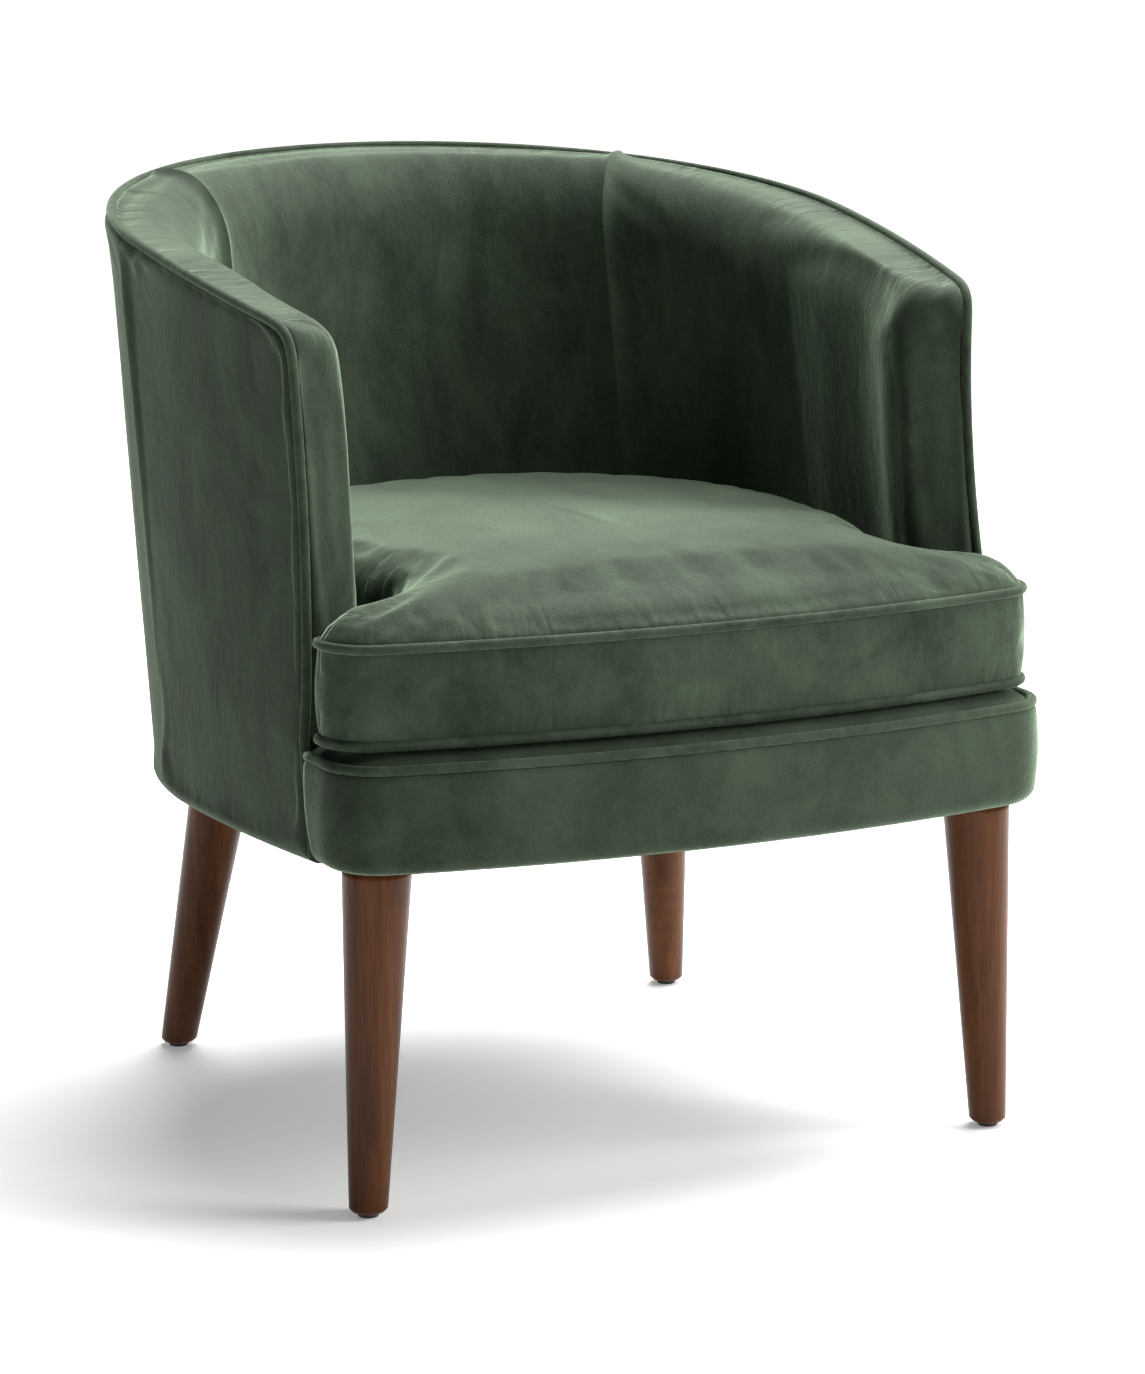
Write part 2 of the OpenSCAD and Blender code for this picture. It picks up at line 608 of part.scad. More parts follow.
module back_rail() {
    n = 2 * ceil(round_steps * seam_share);
    end = seam_share - joint_share;
    color(BEECH) wall_piece(function(z) [for (i = [0 : n]) mix(end, -end, i / n)],
        rail_levels(), rail_outer, rail_inside);
}

module side_rail_right() {
    color(BEECH) wall_piece(function(z) run_to(joint_q(z), seam_share + joint_share),
        rail_levels(), rail_outer, rail_inside);
}
module side_rail_left() { mirror([1, 0, 0]) side_rail_right(); }

module corner_block(plan, bolt) {
    color(BEECH) difference() {
        translate([0, 0, rail_z]) linear_extrude(block_h) polygon(plan);
        translate([bolt[0], bolt[1], rail_z - over])
            cylinder(h = block_h + 2 * over, d = bolt_bore, $fn = 48);
        translate([bolt[0], bolt[1], block_top - nut_h - fit_gap])
            cylinder(h = nut_h + fit_gap + over, d = nut_d + 2 * bore_gap, $fn = 48);
    }
}

module block_front_right() {
    d = rail_inner + fit_gap;
    x_edge = border_half - d;
    y_edge = bow_y(x_edge, d);
    plan = [for (p = border_plan(d, rail_joint_y)) if (p[0] > x_edge - block_reach + rail_corner) p];
    corner_block(concat([[x_edge - block_reach, bow_y(x_edge - block_reach, d)]], plan,
        [[x_edge, y_edge + block_reach]]), front_bolt);
}
module block_front_left() { mirror([1, 0, 0]) block_front_right(); }

module block_back_right() {
    d = rail_inner + fit_gap;
    corner_shares = [for (step = [-1.5, -1, 0, 1, 1.5]) seam_share + step / round_steps];
    corner_block(concat([for (q = corner_shares) level(facet_pt(q, rail_z, d))],
        [for (q = [corner_shares[4], corner_shares[0]]) level(wall_pt(q, rail_z, d + block_t))]),
        back_bolt);
}
module block_back_left() { mirror([1, 0, 0]) block_back_right(); }

function wood_top(q) = rim_z(q) - frame_setback;
top_rail_low = frame_setback + top_rail_h + fit_gap;
function under_top_rail(q) = rim_z(q) - top_rail_low;

// The ends of the top rail are cut off at their upper corner, where the padding turns down the arm
end_cut_h = 10;
end_cut_l = 20;
end_setback = 4;
module top_rail() {
    color(BEECH) wall_piece(
        function(z)
            let (cut = clamp((z - rim_front_h + frame_setback + end_cut_h) / end_cut_h, 0, 1))
            run_round(behind_front(frame_setback + end_setback + end_cut_l * cut, z)),
        function(q) [wood_top(q), wood_top(q) - end_cut_h, wood_top(q) - top_rail_h],
        [wood_in, wood_in, wood_in], [wood_out, wood_out, wood_out]);
}

module arm_post_right() {
    color(BEECH) wall_piece(
        function(z) [for (e = [fit_gap, post_w]) behind_front(frame_setback + e, z)],
        function(q) [for (j = [0 : wall_rows]) row_z(rim_z(q), j, top_rail_low, rail_top + fit_gap)],
        [for (j = [0 : wall_rows]) wood_in], [for (j = [0 : wall_rows]) wood_out - 2 * fit_gap]);
}
module arm_post_left() { mirror([1, 0, 0]) arm_post_right(); }

// Each upright stands on one flat step of the round
upright_shares = [-0.95, -0.45, 0.45, 0.95];
module upright(number) {
    q = upright_shares[number - 1];
    half = upright_w / rim_quarter / 2;
    color(BEECH) wall_piece(function(z) [q + half, q - half],
        function(p) [under_top_rail(p), rail_top + fit_gap],
        [wood_in, wood_in], [wood_out, wood_out]);
}
module upright_1() { upright(1); }
module upright_2() { upright(2); }
module upright_3() { upright(3); }
module upright_4() { upright(4); }

// Springs: straight bars joined by half loops, between the middle of the front and the back rail's top
clip_w = 16;
clip_l = 14;
spring_count = 5;
function spring_x(number) = (number - (spring_count + 1) / 2) * spring_space;
function spring_front(x) = bow_y(x, border_wood_in + rail_t / 2);
function spring_run(x) =
    let (v = cushion_share(rail_top), r = arc_r(v) - wood_in - frame_t / 2)
    arc_y(v) + sqrt(r * r - x * x) - spring_front(x);
// The pitch is rounded, so that bars and loops meet exactly
pitch_step = 0.2;
function loop_count(x) = floor(spring_run(x) / spring_pitch);
function loop_pitch(x) = round(spring_run(x) / loop_count(x) / pitch_step) * pitch_step;
function spring_back(x) = spring_front(x) + loop_count(x) * loop_pitch(x);

module half_loop(r) {
    rotate_extrude(angle = 180, $fn = 48) translate([r, 0]) circle(d = wire_d, $fn = 24);
}

module zigzag_spring(number) {
    x = spring_x(number);
    loops = loop_count(x);
    pitch = loop_pitch(x);
    color(STEEL) translate([x, spring_front(x), wire_z]) {
        for (i = [0 : loops])
            translate([-spring_bar / 2, i * pitch, 0]) rotate([0, 90, 0])
                cylinder(h = spring_bar, d = wire_d, $fn = 24);
        for (i = [0 : loops - 1])
            translate([(i % 2 == 0 ? 1 : -1) * spring_bar / 2, (i + 1 / 2) * pitch, 0])
                rotate([0, 0, i % 2 == 0 ? -90 : 90]) half_loop(pitch / 2);
    }
}
module zigzag_spring_1() { zigzag_spring(1); }
module zigzag_spring_2() { zigzag_spring(2); }
module zigzag_spring_3() { zigzag_spring(3); }
module zigzag_spring_4() { zigzag_spring(4); }
module zigzag_spring_5() { zigzag_spring(5); }

module spring_clip() {
    gap = wire_d + 2 * bore_gap;
    difference() {
        translate([-clip_w / 2, -clip_l / 2, 0]) cube([clip_w, clip_l, clip_h]);
        translate([-clip_w / 2 - over, -gap / 2, clip_t]) cube([clip_w + 2 * over, gap, gap]);
    }
}

module spring_clips() {
    color(STEEL) for (x = [for (k = [1 : spring_count]) spring_x(k)], y = [spring_front(x), spring_back(x)])
        translate([x, y, rail_top]) spring_clip();
}

// Layers of the seat. Their plan is the bowed front, then the arm's front, then the inside of the wall.
// The first is laid on the springs, and its sides stop at the wood of the wall.
function arm_front(z, gap) = front_y(arm_share(z)) - roll_rise - gap;
function seat_plan(z, front_in, notch_gap, depth) =
    left_and(concat(border_plan(front_in, arm_front(z, notch_gap)),
        inside_wall(z, behind_front(-roll_rise - notch_gap, z), depth)));
function beyond_wood() = function(q) wood_out + fit_gap;
function beyond_wall(z) = function(q) wall_t(q, z) + fit_gap;

module seat_hessian() {
    color(HESSIAN) translate([0, 0, seat_hessian_z]) linear_extrude(hessian_t)
        polygon(seat_plan(seat_hessian_z, rail_inner - rail_t / 2, 0, beyond_wood()));
}

deck_inset = 34;
module deck_pad() {
    color(FOAM) translate([0, 0, deck_pad_z]) linear_extrude(deck_pad_t)
        polygon(seat_plan(deck_pad_z, deck_inset, fit_gap, beyond_wall(deck_pad_z)));
}

// The deck cloth lies flat over the pad and slopes down at the front to the border's piping
module deck_cloth() {
    y_end = arm_front(deck_cloth_z, fit_gap);
    function edge(d) = reversed(left_and(border_plan(d, y_end)));
    plans = [edge(deck_inset + cover_t), edge(deck_inset), edge(piping_d + fit_gap)];
    function layer(zs) =
        [for (i = [0 : len(plans[0]) - 1]) [for (j = [0 : 2]) [plans[j][i][0], plans[j][i][1], zs[j]]]];
    low = border_piping_z - cover_t / 2;
    color(VELVET) {
        translate([0, 0, deck_cloth_z]) linear_extrude(cover_t)
            polygon(seat_plan(deck_cloth_z, deck_inset, fit_gap, beyond_wall(deck_cloth_z)));
        slab(layer([deck_top, deck_top, low + cover_t]), layer([deck_cloth_z, deck_cloth_z, low]));
    }
}

dust_inset = 15;
module dust_cover() {
    half = concat(border_plan(dust_inset, front_y(0)),
        [for (q = run_to(2, 0)) if (q < 2) level(wall_pt(q, base_h, dust_inset))]);
    color(BLACK) difference() {
        translate([0, 0, dust_z]) linear_extrude(dust_t) polygon(left_and(half));
        at_bolts() translate([0, 0, dust_z - over]) cylinder(h = dust_t + 2 * over, d = bolt_bore, $fn = 48);
    }
}

// Linings and padding of the wall
module wall_hessian() {
    color(HESSIAN) wall_piece(function(z) run_round(behind_front(frame_setback + end_setback, z)),
        function(q) [for (j = [0 : wall_rows]) row_z(rim_z(q), j, frame_setback + end_cut_h, wall_low)],
        [for (j = [0 : wall_rows]) wall_hessian_in],
        [for (j = [0 : wall_rows]) wall_hessian_in + hessian_t]);
}

module outside_lining() {
    color(HESSIAN) wall_piece(function(z) run_round(behind_front(frame_setback, z)),
        function(q) [for (j = [0 : wall_rows]) row_z(rim_z(q), j, frame_setback, base_h + hem_radius)],
        [for (j = [0 : wall_rows]) lining_in],
        [for (j = [0 : wall_rows]) lining_in + lining_t]);
}

module back_padding() {
    end = seam_share - joint_share;
    color(FOAM) slab(back_sheet(roll_profile(lining_in), end, wall_low),
        back_sheet(bed_profile(), end, wall_low));
}

module arm_padding_right() {
    end = seam_share + joint_share;
    color(FOAM) slab(sheet(roll_profile(lining_in), end, wall_low), sheet(bed_profile(), end, wall_low));
}
module arm_padding_left() { mirror([1, 0, 0]) arm_padding_right(); }

module rail_padding() {
    y_end = border_end(base_h + hem_radius);
    color(FOAM) difference() {
        translate([0, 0, base_h + hem_radius]) linear_extrude(rail_top - base_h - hem_radius)
            polygon(left_and(border_plan(lining_in, y_end)));
        translate([0, 0, base_h]) linear_extrude(rail_h + hem_radius)
            polygon(left_and(border_plan(border_wood_in - fit_gap, y_end + over)));
    }
}

// Covers. The outside ones turn under at their lower edge: rows added below a sheet's or border's own.
// s is the depth of the layer below the velvet's face.
hem_steps = 3;
function hem_rows(s) = concat(
    [for (i = [1 : hem_steps]) let (a = 90 * i / hem_steps)
        [hem_radius - (hem_radius - s) * cos(a), base_h + hem_radius - (hem_radius - s) * sin(a)]],
    [[hem_radius + hem_turn, base_h + s]]);

function hemmed_sheet(s) =
    let (e = piping_r + fit_gap, half = sheet(plain_profile(e, s), 0, base_h + hem_radius))
    mirrored_sheet([for (i = [0 : len(half) - 1])
        let (behind = mix(e, roll_drop, min(i / roll_rings, 1)))
        concat(half[i], [for (h = hem_rows(s))
            wall_pt(run_to(behind_front(behind, h[1]), 0)[max(i - roll_rings, 0)], h[1], h[0])])]);

module outside_cover() {
    color(VELVET) slab(hemmed_sheet(cover_t), hemmed_sheet(0));
}

module inside_back_cover() {
    end = seam_share - joint_share;
    color(VELVET) slab(back_sheet(roll_profile(0), end, wall_low),
        back_sheet(roll_profile(cover_t), end, wall_low));
}

module inside_arm_cover_right() {
    end = seam_share + joint_share;
    color(VELVET) slab(sheet(roll_profile(0), end, wall_low), sheet(roll_profile(cover_t), end, wall_low));
}
module inside_arm_cover_left() { mirror([1, 0, 0]) inside_arm_cover_right(); }

function border_end(z) = front_y(arm_share(z)) - piping_r - fit_gap;
function border_rows(s) =
    concat([[s, border_top - fit_gap], [s, base_h + hem_radius]], hem_rows(s));
function border_column(i, rows) =
    [for (r = rows) let (p = left_and(border_plan(r[0], border_end(r[1])))[i]) [p[0], p[1], r[1]]];
function border_layer(s) =
    let (columns = len(left_and(border_plan(0, border_end(base_h)))))
    reversed([for (i = [0 : columns - 1]) border_column(i, border_rows(s))]);

module front_border_cover() {
    color(VELVET) slab(border_layer(0), border_layer(cover_t));
}

// Piping. The rim's runs up one arm's front edge, round the rim and down the other.
function rim_path(d) =
    let (half = sheet(plain_profile(0, d), 0, base_h + piping_r))
    concat(reversed(half[0]), [for (i = [1 : len(half) - 1]) half[i][0]]);

module rim_piping() {
    outer = rim_path(0);
    inner = rim_path(piping_d);
    right = [for (i = [0 : len(outer) - 1]) [(outer[i] + inner[i]) / 2, outer[i] - inner[i]]];
    left = [for (i = [len(right) - 2 : -1 : 0]) [flip(right[i][0]), flip(right[i][1])]];
    color(PIPING) tube(concat(right, left), piping_sides, false);
}

module front_border_piping() {
    path = left_and(border_plan(piping_r, border_end(rail_top)));
    color(PIPING) tube([for (p = path) [[p[0], p[1], border_piping_z], [0, 0, 1]]], piping_sides, false);
}

// Seat cushion
module cushion_piping(z) {
    color(PIPING) tube([for (p = whole_plan(cushion_plan(piping_r))) [[p[0], p[1], z], [0, 0, 1]]],
        cushion_piping_sides, true);
}
module cushion_piping_top() { cushion_piping(seam_high_z); }
module cushion_piping_bottom() { cushion_piping(seam_low_z); }

panel_inset = piping_d + 2 * fit_gap;
module cushion_top_panel() {
    plan = whole_plan(cushion_plan(panel_inset));
    color(VELVET) ringed(concat(
        [for (share = reversed(ring_shares)) crown_ring(plan, share, seam_high_z - cover_t / 2)],
        [for (share = ring_shares) crown_ring(plan, share, seam_high_z + cover_t / 2)]),
        turned = len(ring_shares) - 1);
}

module cushion_bottom_panel() {
    color(VELVET) translate([0, 0, cushion_z]) linear_extrude(cover_t)
        polygon(whole_plan(cushion_plan(panel_inset)));
}

// The boxing, drawn in at both pipings and open at the back, where the zip is
boxing_low = seam_low_z + piping_r + fit_gap;
boxing_high = seam_high_z - piping_r - fit_gap;
boxing_rows = 4;
function boxing_ring(share, s) =
    let (half = cushion_plan(piping_r + s - boxing_bulge * 4 * share * (1 - share)),
         open = [for (i = [0 : len(half) - 1 - zip_steps]) half[i]])
    [for (p = left_and(open)) [p[0], p[1], mix(boxing_low, boxing_high, share)]];
function boxing_layer(s) =
    let (rings = [for (j = [boxing_rows : -1 : 0]) boxing_ring(j / boxing_rows, s)])
    [for (i = [0 : len(rings[0]) - 1]) [for (ring = rings) ring[i]]];

module cushion_boxing() {
    color(VELVET) slab(boxing_layer(cover_t), boxing_layer(0));
}

module cushion_core() {
    plan = whole_plan(cushion_plan(panel_inset));
    middle = whole_plan(cushion_plan(piping_r + cover_t + zip_tape_t + 3 * fit_gap));
    top = seam_high_z - cover_t / 2 - fit_gap;
    color(FOAM) ringed(concat(
        [level_ring(plan, cushion_z + cover_t + fit_gap), level_ring(middle, zip_mid_z)],
        [for (share = ring_shares) crown_ring(plan, share, top)]));
}

// Zip along the back of the cushion, between two strips of boxing
zip_angle = 90 * zip_steps / back_steps;
zip_end_angle = fit_gap / cushion_r * 180 / PI;
zip_mid_z = (seam_low_z + seam_high_z) / 2;
zip_open = 2;
zip_slot = zip_w + 2 * zip_open;
zip_tape_t = 1;
zip_tape_side = 10;
zip_tape_h = zip_slot + 2 * zip_tape_side;
zip_strip_r = cushion_r - piping_r;
zip_tape_r = zip_strip_r - cover_t - fit_gap;
zip_chain_r = zip_tape_r + cover_t - fit_gap;
slider_t = 2;

// A band on the back's round, given its radii, heights and the angle to each side of the middle
module back_band(r0, r1, z0, z1, angle, turn = 0) {
    translate([0, cushion_y, z0]) rotate([0, 0, 90 + turn - angle])
        rotate_extrude(angle = 2 * angle, $fn = 96) translate([r0, 0]) square([r1 - r0, z1 - z0]);
}

module zip_boxing() {
    angle = zip_angle - zip_end_angle;
    color(VELVET) {
        back_band(zip_strip_r - cover_t, zip_strip_r, boxing_low, zip_mid_z - zip_slot / 2, angle);
        back_band(zip_strip_r - cover_t, zip_strip_r, zip_mid_z + zip_slot / 2, boxing_high, angle);
    }
}

module cushion_zip() {
    angle = zip_angle - zip_end_angle;
    color(BLACK) {
        back_band(zip_tape_r - zip_tape_t, zip_tape_r, zip_mid_z - zip_tape_h / 2,
            zip_mid_z + zip_tape_h / 2, angle);
        back_band(zip_tape_r - zip_tape_t, zip_chain_r, zip_mid_z - zip_w / 2, zip_mid_z + zip_w / 2, angle);
    }
}

module zip_slider() {
    half = slider_l / cushion_r * 90 / PI;
    start = zip_angle - 2 * half;
    color(STEEL) {
        back_band(zip_chain_r + fit_gap, zip_chain_r + fit_gap + slider_t, zip_mid_z - zip_w / 2,
            zip_mid_z + zip_w / 2, half, -start);
        back_band(zip_strip_r + fit_gap, zip_strip_r + fit_gap + slider_t / 2,
            zip_mid_z - zip_w / 2 - slider_l, zip_mid_z, half / 2, -start);
    }
}

leg_front_left();
leg_front_right();
leg_back_left();
leg_back_right();
glide_front_left();
glide_front_right();
glide_back_left();
glide_back_right();
leg_bolts();
t_nuts();
front_rail();
back_rail();
side_rail_left();
side_rail_right();
block_front_left();
block_front_right();
block_back_left();
block_back_right();
arm_post_left();
arm_post_right();
top_rail();
upright_1();
upright_2();
upright_3();
upright_4();
zigzag_spring_1();
zigzag_spring_2();
zigzag_spring_3();
zigzag_spring_4();
zigzag_spring_5();
spring_clips();
seat_hessian();
deck_pad();
deck_cloth();
dust_cover();
wall_hessian();
outside_lining();
back_padding();
arm_padding_left();
arm_padding_right();
rail_padding();
outside_cover();
inside_back_cover();
inside_arm_cover_left();
inside_arm_cover_right();
rim_piping();
front_border_cover();
front_border_piping();
cushion_core();
cushion_top_panel();
cushion_bottom_panel();
cushion_boxing();
cushion_piping_top();
cushion_piping_bottom();
zip_boxing();
cushion_zip();
zip_slider();
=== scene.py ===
import math

import bmesh
import bpy
import numpy as np
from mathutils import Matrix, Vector, noise


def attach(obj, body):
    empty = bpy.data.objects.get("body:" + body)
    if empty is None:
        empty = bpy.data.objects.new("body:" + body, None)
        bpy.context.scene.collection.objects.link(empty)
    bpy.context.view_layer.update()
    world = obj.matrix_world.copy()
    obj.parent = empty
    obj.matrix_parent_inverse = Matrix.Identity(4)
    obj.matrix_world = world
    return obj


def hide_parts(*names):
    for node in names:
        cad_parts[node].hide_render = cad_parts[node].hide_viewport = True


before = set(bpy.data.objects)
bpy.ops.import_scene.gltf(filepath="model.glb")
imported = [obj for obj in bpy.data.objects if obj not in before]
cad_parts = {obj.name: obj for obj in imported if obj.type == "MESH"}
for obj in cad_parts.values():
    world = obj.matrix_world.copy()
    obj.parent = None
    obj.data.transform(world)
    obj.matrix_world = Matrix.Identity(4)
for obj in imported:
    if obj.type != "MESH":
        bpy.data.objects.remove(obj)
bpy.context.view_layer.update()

# The studio. The chair stands on a seamless white floor, with a large soft light above it, another at its
# right and a weak one in front. The floor also glows, which is painted light: faintly under the chair, where
# it lightens the chair's shadow, and more strongly further out. White walls stand behind it. The camera, on
# the dark side, looks slightly down on the chair's left front corner.


def aimed(thing, place, target):
    bpy.context.scene.collection.objects.link(thing)
    thing.location = place
    thing.rotation_mode = "QUATERNION"
    thing.rotation_quaternion = (Vector(target) - Vector(place)).to_track_quat("-Z", "Y")
    return thing


def new_material(name):
    material = bpy.data.materials.new(name)
    material.use_nodes = True
    material.node_tree.nodes.clear()
    shader = material.node_tree.nodes.new("ShaderNodeBsdfPrincipled")
    out = material.node_tree.nodes.new("ShaderNodeOutputMaterial")
    material.node_tree.links.new(shader.outputs[0], out.inputs[0])
    return material, shader


def node(material, kind, inputs, out=0, **settings):
    made = material.node_tree.nodes.new(kind)
    for key, value in settings.items():
        setattr(made, key, value)
    for key, value in inputs.items():
        if isinstance(value, bpy.types.NodeSocket):
            material.node_tree.links.new(value, made.inputs[key])
        else:
            made.inputs[key].default_value = value
    return made.outputs[out]


def join_to(material, socket, value):
    material.node_tree.links.new(value, socket)


CAMERA_PLACE, CAMERA_AIM = (-1.622, -3.469, 1.124), (0.0157, -0.0615, 0.3541)
FLOOR_REACH, LIGHT_AIM = 130, (0, 0, 0.45)
camera_data = bpy.data.cameras.new("camera")
camera_data.lens = 118.6
camera_data.sensor_width = 36
camera_data.clip_start = 0.1
camera_data.clip_end = 300
bpy.context.scene.camera = aimed(bpy.data.objects.new("camera", camera_data), CAMERA_PLACE, CAMERA_AIM)

for name, place, size, power, colour in (
    ("right_light", (2.8, -1.7, 2.1), 1.8, 110, (1.0, 0.99, 0.97)),
    ("top_light", (1.05, 0.55, 2.9), 3.0, 245, (1.0, 1.0, 1.0)),
    ("front_light", (0.8, -3.2, 2.8), 2.4, 10, (0.98, 0.99, 1.0)),
):
    light = bpy.data.lights.new(name, "AREA")
    light.shape = "DISK"
    light.size = size
    light.energy = power
    light.color = colour
    aimed(bpy.data.objects.new(name, light), place, LIGHT_AIM)

world = bpy.data.worlds.new("studio")
world.use_nodes = True
walls = world.node_tree.nodes["Background"]
walls.inputs["Color"].default_value = (1.0, 1.0, 1.0, 1)
around = world.node_tree.nodes.new("ShaderNodeTexCoord").outputs["Generated"]
away = node(world, "ShaderNodeVectorMath", {0: around, 1: (0.43, 0.90, 0.0)}, "Value",
            operation="DOT_PRODUCT")
join_to(world, walls.inputs["Strength"], node(world, "ShaderNodeMapRange", {"Value": away, "From Min": 0.1,
        "From Max": 0.95, "To Min": 0.05, "To Max": 0.70}))
bpy.context.scene.world = world
bpy.context.scene.view_settings.view_transform = "Standard"

floor_mesh = bpy.data.meshes.new("floor")
sheet = bmesh.new()
bmesh.ops.create_grid(sheet, x_segments=1, y_segments=1, size=FLOOR_REACH)
sheet.to_mesh(floor_mesh)
sheet.free()
floor = bpy.data.objects.new("floor", floor_mesh)
bpy.context.scene.collection.objects.link(floor)
paper, shader = new_material("floor_paper")
shader.inputs["Base Color"].default_value = (0.93, 0.93, 0.925, 1)
shader.inputs["Roughness"].default_value = 0.55
shader.inputs["Specular IOR Level"].default_value = 0.25
# The floor glows, which is painted light: faint under the chair, where it lightens the chair's cast shadow,
# and stronger further out, where it makes the floor white.
shader.inputs["Emission Color"].default_value = (1, 1, 1, 1)
glow_distance = node(paper, "ShaderNodeVectorMath", {0: node(paper, "ShaderNodeTexCoord", {}, "Object")}, "Value",
              operation="LENGTH")
join_to(paper, shader.inputs["Emission Strength"], node(paper, "ShaderNodeMapRange", {"Value": glow_distance,
        "From Min": 0.5, "From Max": 2.6, "To Min": 0.24, "To Max": 0.9}))
floor_mesh.materials.append(paper)

# Timber frame. Seat rails, corner blocks, arm posts, uprights and the laminated top rail are planed beech,
# glued and screwed together. All of it is covered.


def place_of(material):
    return node(material, "ShaderNodeTexCoord", {}, "Object")


def scaled(material, place, scale):
    return node(material, "ShaderNodeMapping", {"Vector": place, "Scale": scale})


def noise_of(material, place, scale, detail=3.0, roughness=0.5, distortion=0.0):
    return node(material, "ShaderNodeTexNoise", {"Vector": scaled(material, place, scale), "Scale": 1.0,
                "Detail": detail, "Roughness": roughness, "Distortion": distortion})


def ramp(material, value, stops):
    made = node(material, "ShaderNodeValToRGB", {"Fac": value})
    colours = made.node.color_ramp.elements
    while len(colours) < len(stops):
        colours.new(0.5)
    for element, (at, colour) in zip(colours, stops):
        element.position = at
        element.color = (*colour, 1)
    return made


def bump(material, height, distance, strength=1.0, normal=None):
    inputs = {"Height": height, "Distance": distance, "Strength": strength}
    if normal is not None:
        inputs["Normal"] = normal
    return node(material, "ShaderNodeBump", inputs)


def wood(name, dark, light, roughness):
    material, shader = new_material(name)
    place = place_of(material)
    bands = noise_of(material, place, (55, 55, 3.2), 5, 0.6, 1.2)
    pores = noise_of(material, place, (900, 900, 26), 2, 0.6)
    middle = [(a + b) / 2 for a, b in zip(dark, light)]
    colour = ramp(material, bands, [(0.28, dark), (0.52, middle), (0.76, light)])
    fine = ramp(material, pores, [(0.35, (0.62, 0.60, 0.58)), (0.60, (1, 1, 1))])
    join_to(material, shader.inputs["Base Color"],
            node(material, "ShaderNodeMix", {"Factor": 0.75, "A": colour, "B": fine}, "Result",
                 data_type="RGBA", blend_type="MULTIPLY"))
    rough = node(material, "ShaderNodeMapRange", {"Value": bands, "To Min": roughness - 0.06,
                 "To Max": roughness + 0.08})
    join_to(material, shader.inputs["Roughness"], rough)
    join_to(material, shader.inputs["Normal"], bump(material, pores, 0.00012, 0.6))
    shader.inputs["Specular IOR Level"].default_value = 0.14
    return material


def dressed(material, *names):
    for name in names:
        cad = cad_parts[name]
        cad.data.materials.clear()
        cad.data.materials.append(material)


beech = wood("beech", (0.42, 0.27, 0.14), (0.62, 0.44, 0.26), 0.62)
dressed(beech, "front_rail", "back_rail", "side_rail_left", "side_rail_right", "block_front_left",
        "block_front_right", "block_back_left", "block_back_right", "arm_post_left", "arm_post_right",
        "top_rail", "upright_1", "upright_2", "upright_3", "upright_4")

# Seat springs and fixings. Five zigzag springs of drawn wire run from the front rail to the back rail, each
# end held by a pressed clip. The leg bolts go up into T-nuts in the corner blocks.
spring_steel, shader = new_material("spring_steel")
place = place_of(spring_steel)
drawn = noise_of(spring_steel, place, (900, 900, 900), 3)
shader.inputs["Metallic"].default_value = 1.0
join_to(spring_steel, shader.inputs["Base Color"],
        ramp(spring_steel, drawn, [(0.3, (0.30, 0.30, 0.32)), (0.7, (0.52, 0.53, 0.55))]))
join_to(spring_steel, shader.inputs["Roughness"],
        node(spring_steel, "ShaderNodeMapRange", {"Value": drawn, "To Min": 0.3, "To Max": 0.5}))
dressed(spring_steel, "zigzag_spring_1", "zigzag_spring_2", "zigzag_spring_3", "zigzag_spring_4",
        "zigzag_spring_5", "spring_clips", "leg_bolts", "t_nuts")

# Linings. Woven hessian is stapled over the springs and inside the wall, and a grey fibre board closes the
# wall behind the outside cover.
hessian, shader = new_material("hessian")
place = place_of(hessian)
threads = [node(hessian, "ShaderNodeTexWave", {"Vector": place, "Scale": 160.0, "Distortion": 1.5,
                "Detail": 2.0}, bands_direction=axis) for axis in ("X", "Y", "Z")]
weave = node(hessian, "ShaderNodeMath", {0: threads[0], 1: threads[1]}, operation="MAXIMUM")
weave = node(hessian, "ShaderNodeMath", {0: weave, 1: threads[2]}, operation="MAXIMUM")
join_to(hessian, shader.inputs["Base Color"],
        ramp(hessian, weave, [(0.4, (0.20, 0.14, 0.08)), (0.9, (0.46, 0.36, 0.22))]))
join_to(hessian, shader.inputs["Normal"], bump(hessian, weave, 0.0005, 0.8))
shader.inputs["Roughness"].default_value = 0.95
dressed(hessian, "seat_hessian", "wall_hessian")

fibre_board, shader = new_material("fibre_board")
flecks = noise_of(fibre_board, place_of(fibre_board), (260, 260, 260), 5, 0.7)
join_to(fibre_board, shader.inputs["Base Color"],
        ramp(fibre_board, flecks, [(0.3, (0.22, 0.19, 0.15)), (0.7, (0.40, 0.36, 0.29))]))
join_to(fibre_board, shader.inputs["Normal"], bump(fibre_board, flecks, 0.0003, 0.5))
shader.inputs["Roughness"].default_value = 0.9
dressed(fibre_board, "outside_lining")

# Platform. Under the cushion a thin pad and a velvet cloth lie on the springs. At the front the cloth slopes
# down to the seam of the front border.

# Sizes of the wall round it, as in the part: heights, plan arcs, lean of the arms' front edges, roll
BASE_Z, RIM_FRONT, RIM_BACK = 0.283, 0.695, 0.781
RIM_R, BASE_R, SIDE_R = 0.335, 0.337, 1.5
RIM_Y, BASE_Y = 0.049, -0.051
REACH_TOP, REACH_BASE, LEAN = 0.272, 0.233, 1.5
QUARTER = math.pi * RIM_R / 2
WALL_BACK, WALL_TOP, WALL_FOOT = 0.075, 0.076, 0.077
ROLL_RISE, ROLL_CREST, ROLL_DROP = 0.004, 0.032, 0.056
PIPING = 0.004
WAIST, WAIST_LOW = 0.010, 0.24


def mix(a, b, t):
    return a + (b - a) * t


def clamped(t):
    return min(max(t, 0.0), 1.0)


def rim_z(q):
    run = abs(q) * QUARTER if abs(q) <= 1 else QUARTER + (abs(q) - 1) * REACH_TOP
    return mix(RIM_FRONT, RIM_BACK, math.sin(math.pi / 2 * (1 - run / (QUARTER + REACH_TOP))))


